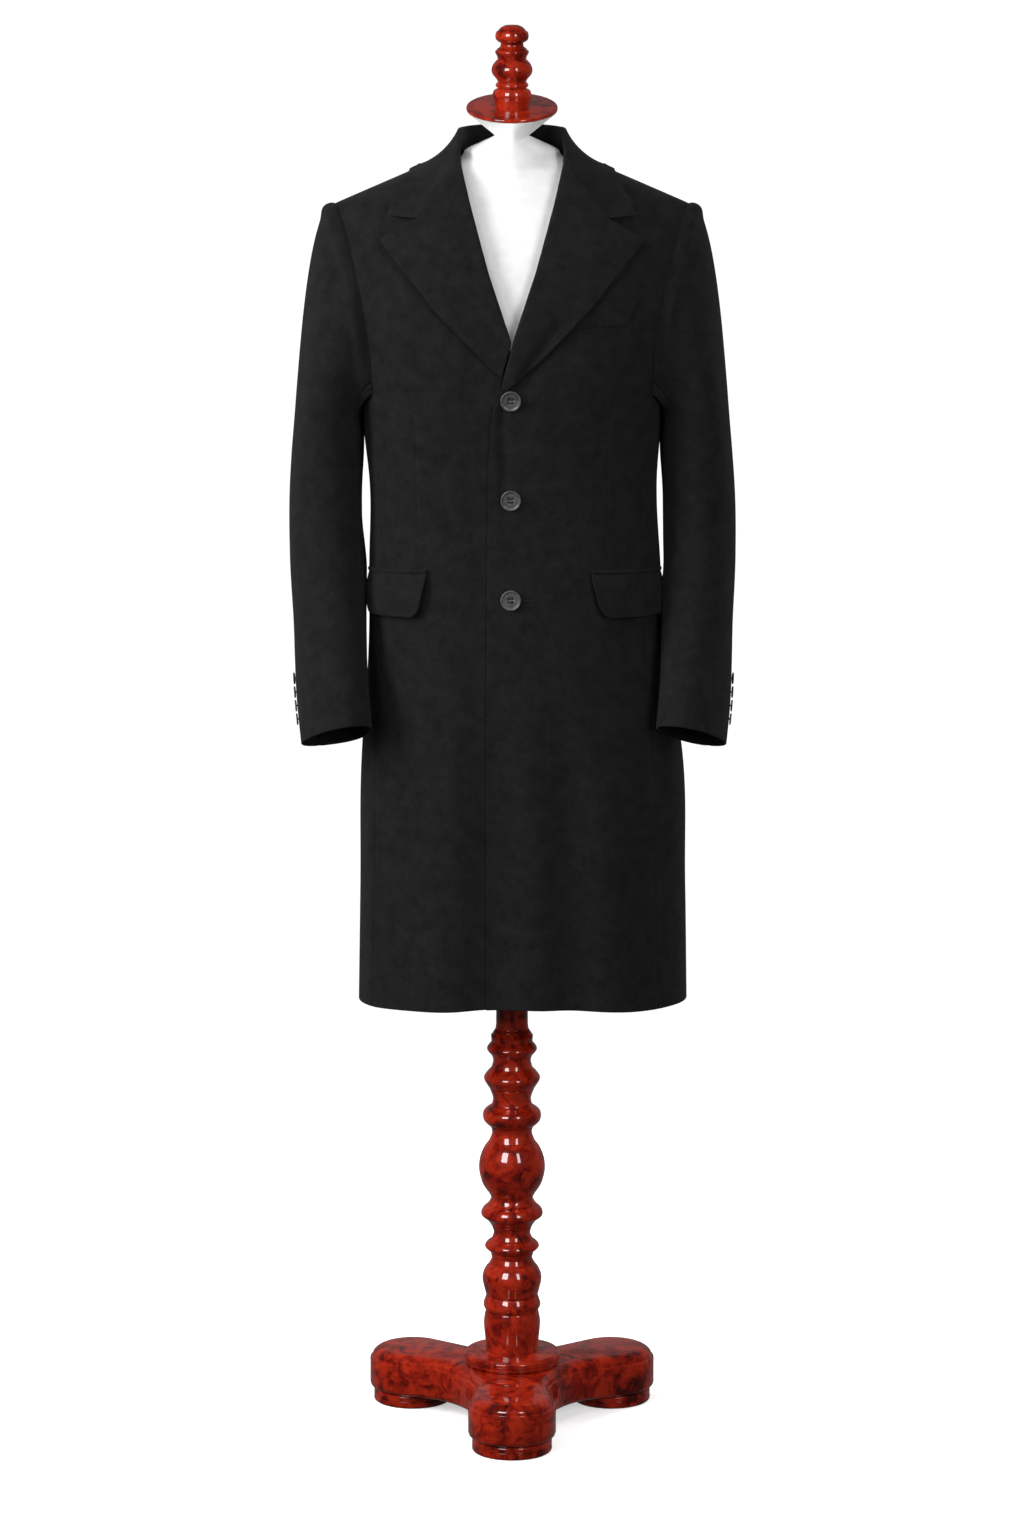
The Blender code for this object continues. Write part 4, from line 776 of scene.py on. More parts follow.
@dataclass(frozen=True)
class BodyForm:
    """Form of the coat's body: sections in plan that lean in over the shoulders."""

    shoulder_x: float = 0.2185
    shoulder_z: float = 1.5470
    slope: float = 0.43
    yoke_z: float = 1.330
    yoke_span: float = 0.300
    power: float = 2.4

    @property
    def top(self) -> float:
        """Level of the shoulder ridge."""
        return self.yoke_z + self.yoke_span

    def ridge_z(self, x: object) -> Array:
        """Height of the shoulder ridge over a place on the X axis."""
        return self.shoulder_z + (self.shoulder_x - np.abs(x)) * self.slope

    def face(self, angle: object, level: object) -> Array:
        """Points at plan angles, 0 in front, and levels."""
        angle, level = np.broadcast_arrays(np.asarray(angle, float), np.asarray(level, float))
        centre, half, front, back = np.moveaxis(smooth_table(BODY_LEVELS, level), -1, 0)
        depth = np.where(np.cos(angle) > 0, front, back)
        reach = (np.abs(np.sin(angle) / half) ** self.power
                 + np.abs(np.cos(angle) / depth) ** self.power) ** (-1.0 / self.power)
        turn = np.clip((level - self.yoke_z) / self.yoke_span, 0.0, 1.0) * math.pi / 2
        x = centre + reach * np.sin(angle)
        y = AXIS_Y - reach * np.cos(angle) * np.cos(turn)
        over = self.yoke_z + (self.ridge_z(x) - self.yoke_z) * np.sin(turn)
        return xyz(x, y, np.where(level < self.yoke_z, level, over))

    def out(self, angle: object, level: object) -> Array:
        """Unit vectors that point out of the body."""
        small, step = 0.004, 0.0015
        level = np.minimum(np.asarray(level, float), self.top - step)
        across = self.face(np.add(angle, small), level) - self.face(np.subtract(angle, small), level)
        along = self.face(angle, level + step) - self.face(angle, level - step)
        return unit(np.cross(across, along))

    def level_at(self, x: object, z: object) -> Array:
        """Level of a place given by x and height."""
        rise = np.clip((np.asarray(z) - self.yoke_z) / (self.ridge_z(x) - self.yoke_z), 0.0, 1.0)
        over = self.yoke_z + self.yoke_span * np.arcsin(rise) / (math.pi / 2)
        return np.where(np.asarray(z) < self.yoke_z, z, over)

    def angle_at(self, x: object, level: object, behind: bool = False) -> Array:
        """Plan angle of a place given by x and level."""
        centre, half, front, back = np.moveaxis(smooth_table(BODY_LEVELS, level), -1, 0)
        across = np.clip((x - centre) / half, -1.0, 1.0)
        deep = (1.0 - np.abs(across) ** self.power) ** (1.0 / self.power)
        angle = np.arctan2(half * across, (back if behind else front) * deep)
        if behind:
            angle = np.where(angle < 0, -math.pi - angle, math.pi - angle)
        return angle

    def place(self, x: object, z: object, behind: bool = False) -> tuple:
        """Point, outward direction, plan angle and level at x and height."""
        level = self.level_at(x, z)
        angle = self.angle_at(x, level, behind)
        return self.face(angle, level), self.out(angle, level), angle, level


BODY = BodyForm()


@dataclass
class CoatBody:
    """Fronts, side panels and backs, with the fall of the cloth."""

    arm_notch: float = 1.3180
    hem_z: float = 0.5480
    hem_rise: float = 0.0150
    hem_power: float = 1.5
    neck_x: float = 0.0690
    neck_depth: float = 0.0600
    neck_fit: float = 0.995
    arm_dip: float = 0.0150
    dip_from: float = 0.55
    dart_shares: tuple = (0.3, 0.75)
    notch_ease_from: float = 1.10
    roll_radii: tuple = (0.0027, 0.0045)
    roll_levels: tuple = (1.330, 1.400)
    roll_seat: float = 0.0009
    lap_depth: float = 0.0036
    lap_x: tuple = (-0.075, -0.040)
    lap_levels: tuple = (1.50, 1.60)
    rows_below: int = 92
    rows_above: int = 46
    columns: int = 27
    # plan angles in radians that stand for a whole front and a whole back when its rows are spread
    front_turn: float = 0.4
    back_turn: float = 2.0
    relief_radius: float = 0.150
    creases: tuple = tuple(Crease(*row) for row in (
        # skirt in front, falling from the hips
        ((-33.0, 1.08), (-36.0, 0.52), 0.030, 0.0058, 0.5, 0.0),
        ((-14.0, 1.02), (-16.0, 0.52), 0.026, -0.0046, 0.5, 0.0),
        ((5.0, 1.08), (9.0, 0.52), 0.024, 0.0044, 0.4, 0.0),
        ((20.0, 1.04), (25.0, 0.52), 0.028, -0.0056, 0.5, 0.0),
        ((40.0, 0.96), (45.0, 0.52), 0.032, 0.0050, 0.5, 0.0),
        ((-55.0, 1.00), (-57.0, 0.52), 0.030, -0.0030, 0.5, 0.0),
        ((62.0, 0.98), (64.0, 0.52), 0.028, -0.0028, 0.5, 0.0),
        # sides and back
        ((82.0, 1.02), (86.0, 0.52), 0.032, 0.0034, 0.5, 0.0),
        ((-80.0, 1.02), (-84.0, 0.52), 0.034, 0.0036, 0.5, 0.0),
        ((108.0, 0.98), (110.0, 0.52), 0.030, -0.0026, 0.5, 0.0),
        ((-106.0, 1.00), (-110.0, 0.52), 0.030, -0.0030, 0.5, 0.0),
        ((131.0, 1.04), (136.0, 0.52), 0.032, 0.0040, 0.5, 0.0),
        ((-133.0, 1.02), (-137.0, 0.52), 0.033, 0.0038, 0.5, 0.0),
        ((156.0, 1.00), (160.0, 0.52), 0.028, -0.0030, 0.5, 0.0),
        ((-157.0, 1.02), (-160.0, 0.52), 0.028, -0.0032, 0.5, 0.0),
        # sunk line inside the front edge
        ((-5.6, 1.32), (-4.4, 1.12), 0.0064, -0.0042, 0.1, 0.6),
        # hollow under the edge of the lapel on the wearer's left
        ((2.4, 1.3310), (31.0, 1.3985), 0.0080, -0.0062, 0.10, 0.50),
        # soft pull at the waist
        ((44.0, 1.215), (12.0, 1.190), 0.016, 0.0010),
        ((-40.0, 1.230), (-14.0, 1.198), 0.015, 0.0010),
        ((38.0, 1.160), (10.0, 1.178), 0.014, -0.0008),
        ((-36.0, 1.155), (-12.0, 1.180), 0.015, -0.0008),
        ((150.0, 1.200), (118.0, 1.225), 0.016, -0.0014),
        ((-148.0, 1.205), (-120.0, 1.220), 0.016, -0.0014),
        ((158.0, 1.160), (126.0, 1.150), 0.017, 0.0012),
        ((-156.0, 1.170), (-124.0, 1.155), 0.017, 0.0012),
        # hollow beside the front of each armhole
        ((58.0, 1.50), (64.0, 1.33), 0.013, -0.0038, 0.4, 0.2),
        ((-57.0, 1.50), (-64.0, 1.33), 0.013, -0.0040, 0.4, 0.2),
        # cloth held out under the arms
        ((88.0, 1.330), (88.0, 1.20), 0.024, 0.0026, 0.1, 0.6),
        ((-88.0, 1.330), (-88.0, 1.20), 0.024, 0.0026, 0.1, 0.6),
    ))
    dart_depth: float = 0.0007
    dart_width: float = 0.0018

    def hem(self, angle: object) -> Array:
        """Height of the hem, a little higher in front."""
        return self.hem_z + self.hem_rise * np.clip(np.cos(angle), 0.0, 1.0) ** self.hem_power

    def row_shares(self) -> tuple[Array, Array]:
        """Shares of the rows below and above the armhole notch."""
        return spaced(self.rows_below), spaced(self.rows_above)[1:]

    def row_levels(self, angle: object) -> Array:
        """Levels of a panel's rows at one plan angle, from the hem to the shoulder."""
        below, above = self.row_shares()
        start = self.hem(angle)
        return np.concatenate([start + (self.arm_notch - start) * below,
                               self.arm_notch + (BODY.top - self.arm_notch) * above])

    def column_levels(self, angles: Array) -> Array:
        """Levels of all columns of a panel, each from the angle that it has at the hem."""
        return np.stack([self.row_levels(angle) for angle in angles[0]], axis=1)

    def roll_radius(self, z: object) -> Array:
        """Radius of the lapel's fold, tighter toward the break."""
        low, high = self.roll_radii
        return low + (high - low) * ease(*self.roll_levels, z)

    def centre_table(self) -> list:
        """Level and x of the front edge and, above the break, of the edge under the lapel."""
        table = list(FRONT_EDGE)
        for height, x in ROLL_LINE:
            edge_x = x + float(self.roll_radius(height)) + self.roll_seat
            table.append((float(BODY.level_at(edge_x, height)), edge_x))
        return table + [(BODY.top, self.neck_x)]

    def neck_level(self, x: object) -> Array:
        """Level of the neckline behind, rounded in plan round the neck."""
        share = np.clip(np.abs(x) / self.neck_x, 0.0, 1.0)
        deep = self.neck_depth * np.sqrt(1.0 - share ** 2)
        turn = np.arccos(np.clip(deep / (BODY_LEVELS[-1][4] * self.neck_fit), 0.0, 1.0))
        return BODY.yoke_z + BODY.yoke_span * turn / (math.pi / 2)

    def outer_angles(self, seam: tuple, arm: tuple, side: Side, behind: bool) -> Array:
        """Plan angles of a panel's outer edge: the side seam, then the armhole.

        Args:
            seam: Height and plan angle of the side seam.
            arm: x and height of the armhole seam.
            side: Side of the coat.
            behind: Whether the panel is a back.

        Returns:
            One angle for each row.
        """
        guess = self.row_levels(self.back_turn if behind else self.front_turn)
        table = [(float(BODY.level_at(x, z)), x) for x, z in arm] + [(BODY.top, BODY.shoulder_x)]
        arm_x = smooth_table(table, guess)[:, 0] * side.value
        notch = self.rows_below
        low = side.value * np.radians(smooth_table(seam, guess)[..., 0])
        outer = np.where(guess <= self.arm_notch + 1e-9, low, BODY.angle_at(arm_x, guess, behind))
        met = BODY.angle_at(arm_x[notch - 1], guess[notch - 1], behind)
        near = ease(self.notch_ease_from, self.arm_notch, guess[:notch])
        outer[:notch] += (met - outer[notch - 1]) * near
        return outer

    def front_grid(self, side: Side) -> tuple[Array, Array]:
        """Angles and levels of one front, with a column along its dart."""
        seam = SEAM_LEFT_FRONT if side is Side.LEFT else SEAM_RIGHT_FRONT
        guess = self.row_levels(self.front_turn)
        inner = BODY.angle_at(smooth_table(self.centre_table(), guess)[:, 0] * side.value, guess)
        outer = self.outer_angles(seam, ARM_FRONT, side, False)
        dart = BODY.angle_at(smooth_table(DART_LINE, guess)[:, 0] * side.value, guess)
        split = np.clip((dart - inner) / (outer - inner), *self.dart_shares)[:, None]
        near, far = spaced(self.columns), spaced(self.columns)[1:]
        share = np.concatenate([split * near, split + (1 - split) * far], axis=1)
        angles = inner[:, None] + (outer - inner)[:, None] * share
        return angles, self.column_levels(angles)

    def back_grid(self, side: Side) -> tuple[Array, Array]:
        """Angles and levels of one back, from the side seam to the centre back."""
        guess = self.row_levels(self.back_turn)
        outer = self.outer_angles(SEAM_BACK, ARM_BACK, side, True)
        neck = BODY.angle_at(np.full_like(guess, self.neck_x * side.value), guess, behind=True)
        share = spaced(self.columns, 0.7)
        wide = outer[:, None] + (neck - outer)[:, None] * share
        middle = neck[:, None] + (side.value * math.pi - neck)[:, None] * share[1:]
        angles = np.concatenate([wide, middle], axis=1)
        levels = self.column_levels(angles)
        dip = BODY.top - self.neck_level(BODY.face(angles[-1], BODY.top)[:, 0])
        upper = levels[self.rows_below:]
        rise = (upper - self.arm_notch) / (BODY.top - self.arm_notch)
        levels[self.rows_below:] = upper - rise * dip[None, :]
        return angles, levels

    def side_grid(self, front: tuple, back: tuple) -> tuple[Array, Array]:
        """Angles and levels between the edges of a front and a back, up to the armhole."""
        rows = self.rows_below
        share = spaced(self.columns)
        first, last = front[0][:rows, -1], back[0][:rows, 0]
        low, high = front[1][:rows, -1], back[1][:rows, 0]
        angles = first[:, None] + (last - first)[:, None] * share
        levels = low[:, None] + (high - low)[:, None] * share
        dip = self.arm_dip * np.sin(math.pi * share)
        return angles, levels - ease(self.dip_from, 1.0, self.row_shares()[0])[:, None] * dip[None, :]

    def tuck(self, x: object, level: object) -> Array:
        """How far the front that lies under is set in below the lapping front."""
        return self.lap_depth * ease(*self.lap_x, x) * (1.0 - ease(*self.lap_levels, level))

    def relief(self, angle: Array, level: Array) -> Array:
        """Lift of the creases and darts at plan angles and levels."""
        degrees = np.degrees(angle)
        lift = total_relief(self.creases, degrees, level, self.relief_radius)
        dart_x = smooth_table(DART_LINE, level)[..., 0]
        x = BODY.face(angle, level)[..., 0]
        low, high = DART_ENDS
        inside = ease(low, low + DART_FADES[0], level) * ease(high, high - DART_FADES[1], level)
        ahead = np.abs(degrees) < 90.0
        away = np.abs(np.abs(x) - dart_x)
        dart = self.dart_depth * np.exp(-(away / self.dart_width) ** 2)
        return lift - np.where(ahead, dart * inside, 0.0)

    def surface(self, angles: Array, levels: Array, side: Side, front: bool) -> tuple[Array, Array, Array]:
        """Face without creases, face with them, and outward directions.

        Args:
            angles: Plan angles.
            levels: Levels.
            side: Side of the coat.
            front: Whether the place is on a front.

        Returns:
            The plain face, the creased face and the directions.
        """
        plain, out = BODY.face(angles, levels), BODY.out(angles, levels)
        if front and side is Side.RIGHT:
            plain = plain - out * self.tuck(plain[..., 0], levels)[..., None]
        return plain, plain + out * self.relief(angles, levels)[..., None], out

    def at(self, x: object, z: object, side: Side) -> tuple[Array, Array]:
        """Creased face of a front, and its outward direction, at x and height."""
        _, _, angle, level = BODY.place(x, z)
        _, face, out = self.surface(angle, level, side, True)
        return face, out

    def build(self, surface: Material) -> dict:
        """Make the six panels.

        Args:
            surface: Material of the cloth.

        Returns:
            The plain grids, the pieces and their cloth, each by kind and side.
        """
        both = (Border.FIRST_COLUMN, Border.LAST_COLUMN, Border.LAST_ROW)
        seams = {"front": both[1:], "back": both, "side": both}
        nodes = {"front": "coat_front", "back": "coat_back", "side": "side_panel"}
        made = {"grids": {}, "pieces": {}, "cloth": {}}
        for side in Side:
            front, back = self.front_grid(side), self.back_grid(side)
            panels = {"front": front, "back": back, "side": self.side_grid(front, back)}
            for kind, (angles, levels) in panels.items():
                plain, face, out = self.surface(angles, levels, side, kind == "front")
                piece = ClothPiece(f"wool_{kind}_{side.word}", face, out, WALL, seams[kind])
                made["grids"][kind, side] = plain
                made["pieces"][kind, side], made["cloth"][kind, side] = piece.settled(
                    surface, f"{nodes[kind]}_{side.word}")
        return made


@dataclass
class Lapel:
    """Turned-out lapel with its facing, lying on its front."""

    coat: CoatBody
    side: Side
    ends: tuple[float, float]
    rows: int = 84
    curl: int = 9
    inner_columns: int = 20
    outer_columns: int = 14
    lift: float = 0.0042
    spring: float = 0.022
    belly: float = 0.0036
    belly_reach: float = 0.62
    # how the rows crowd along the outer edge and the columns beyond the notch
    row_power: float = 1.05
    column_power: float = 1.4
    # first column past the fold: in radii of the fold, and at most this share of the way to the notch
    first_column: tuple = (1.15, 0.6)
    # how fast the shape of the notch is lost below it
    corner_fade: float = 10.0
    # columns along the outer edge that surely face forwards
    flat_columns: int = 8

    def grid(self) -> Array:
        """Face from the edge of the front round the fold to the outer edge."""
        span = spaced(self.rows, 0.6)
        roll = polyline(cut_line(ROLL_LINE[::-1], self.ends[0]), span)
        outer = polyline(cut_line(LAPEL_EDGE, self.ends[1]), span ** self.row_power)
        top_line = [tuple(roll[0]), LAPEL_NOTCH, LAPEL_EDGE[0]]
        gorge = math.dist(top_line[0], top_line[1])
        notch = gorge / (gorge + math.dist(top_line[1], top_line[2]))
        turns = np.radians(np.linspace(-90.0, 90.0, self.curl))
        made = []
        for order, share in enumerate(span):
            start = roll[order]
            radius = float(self.coat.roll_radius(start[0]))
            corner = math.exp(-(share * self.corner_fade) ** 2)
            near, most = self.first_column
            first = min(near * radius / max(math.dist(start, outer[order]), 1e-6), most * notch)
            rest = (1.0 - np.linspace(0.0, 1.0, self.outer_columns)[1:]) ** self.column_power
            spread = np.concatenate([[0.0], np.linspace(first, notch, self.inner_columns),
                                     1.0 - (1.0 - notch) * rest])
            bent = polyline(top_line, spread)
            bent = bent - bent[0] + start
            bent = bent + (outer[order] - bent[-1]) * spread[:, None]
            plain = start + (outer[order] - start) * spread[:, None]
            line = plain + (bent - plain) * corner
            base, out = self.coat.at(line[:, 1] * self.side.value, line[:, 0], self.side)
            into = unit(base[1] - base[0])
            up = unit(out[0] - into * np.dot(out[0], into))
            fold = base[0] + up * (radius - WALL)
            curl = (fold + into * radius * (1.0 - np.cos(turns))[:, None]
                    + up * radius * np.sin(turns)[:, None])
            away = np.linalg.norm(base[1:] - base[0], axis=1)
            low = WALL + self.lift + self.belly * math.exp(-(share / self.belly_reach) ** 2)
            high = 2 * radius - WALL
            lift = low + (high - low) * np.exp(-np.maximum(away - radius, 0.0) / self.spring)
            made.append(np.concatenate([curl, base[1:] + out[1:] * lift[:, None]]))
        return np.stack(made)

    def build(self, surface: Material) -> tuple:
        """Make the lapel and return its object and cloth."""
        face = self.grid()
        towards = np.zeros(face.shape)
        towards[:, -self.flat_columns:, 1] = -1.0
        piece = ClothPiece(f"wool_lapel_{self.side.word}", face, towards, TRIM_WALL,
                           (Border.FIRST_COLUMN, Border.FIRST_ROW), seam_dip=0.0, seam_roll=0.0001)
        return piece.settled(surface, f"lapel_{self.side.word}")


@dataclass
class Collar:
    """Folded collar with its stand, whose ends meet the lapels along the gorge."""

    coat: CoatBody
    gorge: Array
    columns: int = 64
    column_power: float = 1.25
    foot_rows: int = 8
    curl: int = 9
    fall_rows: int = 22
    ridge_share: float = 0.60
    radius: float = 0.0034
    gorge_radius: float = 0.0045
    stand_inset: float = 0.0015
    stand_raise: float = 0.0006
    hollow: float = 0.0055
    edge_lift: float = 0.0012
    fall_clear: float = 0.0021
    # column of the lapel's grid past its curl where the gorge meets the notch
    notch_column: int = 19
    # shares of the way to the gorge from which the collar takes on the curl, the notch, the height at
    # the tip and the flatness of the lapel
    curl_from: float = 0.72
    notch_from: float = 0.66
    tip_span: tuple = (0.72, 0.96)
    flat_from: float = 0.80
    # turn in degrees that the stand gives up to the curl near the gorge
    stand_turn: float = 55.0
    # half the columns and the rows behind the neck that surely face backwards
    back_columns: int = 10
    back_rows: int = 6

    def neck_edge(self, share: Array) -> Array:
        """Edge of the body panels that the collar stands on."""
        back_x = self.coat.neck_x * np.clip(share / self.ridge_share, 0.0, 1.0)
        back_level = self.coat.neck_level(back_x)
        back = BODY.face(BODY.angle_at(back_x, back_level, behind=True), back_level)
        table = self.coat.centre_table()
        ahead = np.clip((share - self.ridge_share) / (1.0 - self.ridge_share), 0.0, 1.0)
        level = BODY.top - (BODY.top - table[-2][0]) * ahead
        front_x = smooth_table(table, level)[..., 0]
        front = BODY.face(BODY.angle_at(front_x, level), level)
        return np.where((share < self.ridge_share)[..., None], back, front)

    def clear_of_body(self, points: Array) -> Array:
        """Points over the shoulders moved out to keep clear of the body."""
        x, y, z = np.moveaxis(points, -1, 0)
        tall = BODY.ridge_z(x) - BODY.yoke_z
        level = BODY.level_at(x, np.minimum(z, BODY.yoke_z + tall))
        _, half, front, back = np.moveaxis(smooth_table(BODY_LEVELS, level), -1, 0)
        deep = np.where(y < AXIS_Y, front, back)
        deep = deep * (1.0 - np.abs(x / half) ** BODY.power) ** (1.0 / BODY.power)
        reach = np.hypot(y - AXIS_Y, z - BODY.yoke_z)
        place = np.hypot((y - AXIS_Y) / deep, (z - BODY.yoke_z) / tall)
        scale = np.maximum(1.0, (1.0 + self.fall_clear / reach) / place)
        return xyz(x, AXIS_Y + (y - AXIS_Y) * scale, BODY.yoke_z + (z - BODY.yoke_z) * scale)

    def column(self, part: float, fold: Array, along: Array, edge: Array, edge_out: Array,
               stand: Array) -> Array:
        """One column of the collar, from its stand over the fold to its outer edge.

        Args:
            part: Share from the centre back to the gorge.
            fold: Point on the fold.
            along: Direction of the fold.
            edge: Point on the outer edge.
            edge_out: Direction out of the body there.
            stand: Point on the neck edge of the body.

        Returns:
            The points of the column.
        """
        picked = [self.curl // 2, 0, self.curl - 1, self.curl + self.notch_column]
        tip, under, over, notch = self.gorge[picked]
        gorge_into = (0.5 * (under + over) - tip) / self.gorge_radius
        gorge_up = (over - under) / (2 * self.gorge_radius)
        near = float(ease(self.curl_from, 1.0, part))
        radius = self.radius + (self.gorge_radius - self.radius) * near
        middle = 0.5 * (fold + edge) - edge_out * self.hollow
        middle = middle + (notch - middle) * float(ease(self.notch_from, 1.0, part)) ** 1.5
        into = unit(middle - fold)
        into = unit(into + (gorge_into - into) * near)
        up = unit(np.cross(unit(along), into))
        up = up if np.dot(up, edge_out) > 0 else -up
        up = up + (gorge_up - up) * near
        up = unit(up - into * np.dot(up, into))

        def curl(turn: Array) -> Array:
            """Points on the rounded fold at turns in degrees."""
            turn = np.radians(turn)[:, None]
            return fold + into * radius * (1.0 - np.cos(turn)) + up * radius * np.sin(turn)

        towards = np.array([0.0 - stand[0], AXIS_Y - stand[1], 0.0])
        foot = stand + unit(towards) * (TRIM_WALL + self.stand_inset)
        foot[2] += self.stand_raise
        rise = np.linspace(0.0, 1.0, self.foot_rows)
        start = curl(np.array([-90.0]))[0]
        lower = foot + (start - foot) * rise[:, None]
        lower = lower + (curl(-90.0 + self.stand_turn * rise) - lower) * near ** 2
        bend = curl(np.linspace(-90.0 + self.stand_turn * near ** 2, 90.0, self.curl))[1:]
        sharp = float(ease(self.flat_from, 1.0, part))
        t = np.linspace(0.0, 1.0, self.fall_rows)[1:, None]
        over_end = bend[-1]
        straight = np.where(t <= 0.5, over_end + (middle - over_end) * 2 * t,
                            middle + (edge - middle) * (2 * t - 1))
        control = 2.0 * middle - 0.5 * (over_end + edge)
        curve = (1 - t) ** 2 * over_end + 2 * t * (1 - t) * control + t ** 2 * edge
        fall = self.clear_of_body(curve + (straight - curve) * sharp)
        return np.concatenate([lower, bend, fall])

    def grid(self) -> Array:
        """Face of the whole collar, from the right gorge round the neck to the left one."""
        share = 1.0 - (1.0 - np.linspace(0.0, 1.0, self.columns)) ** self.column_power
        edge_x, edge_z = np.moveaxis(smooth_table(COLLAR_EDGE, share), -1, 0)
        edge_z = np.minimum(edge_z, BODY.ridge_z(edge_x))
        behind = (share < self.ridge_share)[:, None]
        back_point, back_out, _, _ = BODY.place(edge_x, edge_z, behind=True)
        fore_point, fore_out, _, _ = BODY.place(edge_x, edge_z)
        edge_out = np.where(behind, back_out, fore_out)
        under_tip, tip_out, _, _ = BODY.place(*self.gorge[-1, [0, 2]])
        tip = float(np.dot(self.gorge[-1] - under_tip, tip_out))
        lift = TRIM_WALL + self.edge_lift
        lift = lift + (tip - lift) * ease(*self.tip_span, share)[:, None]
        edge = np.where(behind, back_point, fore_point) + edge_out * lift
        table = [(row[0], row[1], AXIS_Y + row[2], row[3]) for row in COLLAR_FOLD]
        table.append((1.0, *self.gorge[self.curl // 2]))
        fold = smooth_table(table, share)
        along = np.gradient(fold, axis=0)
        stand = self.neck_edge(share)
        half = np.stack([self.column(float(part), fold[k], along[k], edge[k], edge_out[k], stand[k])
                         for k, part in enumerate(share)])
        return np.concatenate([(half * np.array([-1.0, 1.0, 1.0]))[:0:-1], half])

    def build(self, surface: Material) -> tuple:
        """Make the collar and return its object and cloth."""
        face = self.grid()
        towards = np.zeros(face.shape)
        middle = face.shape[0] // 2
        towards[middle - self.back_columns:middle + self.back_columns, -self.back_rows:, 1] = 1.0
        piece = ClothPiece("wool_collar", face, towards, TRIM_WALL,
                           (Border.FIRST_ROW, Border.LAST_ROW), seam_dip=0.0, seam_roll=0.0001)
        return piece.settled(surface, "collar")


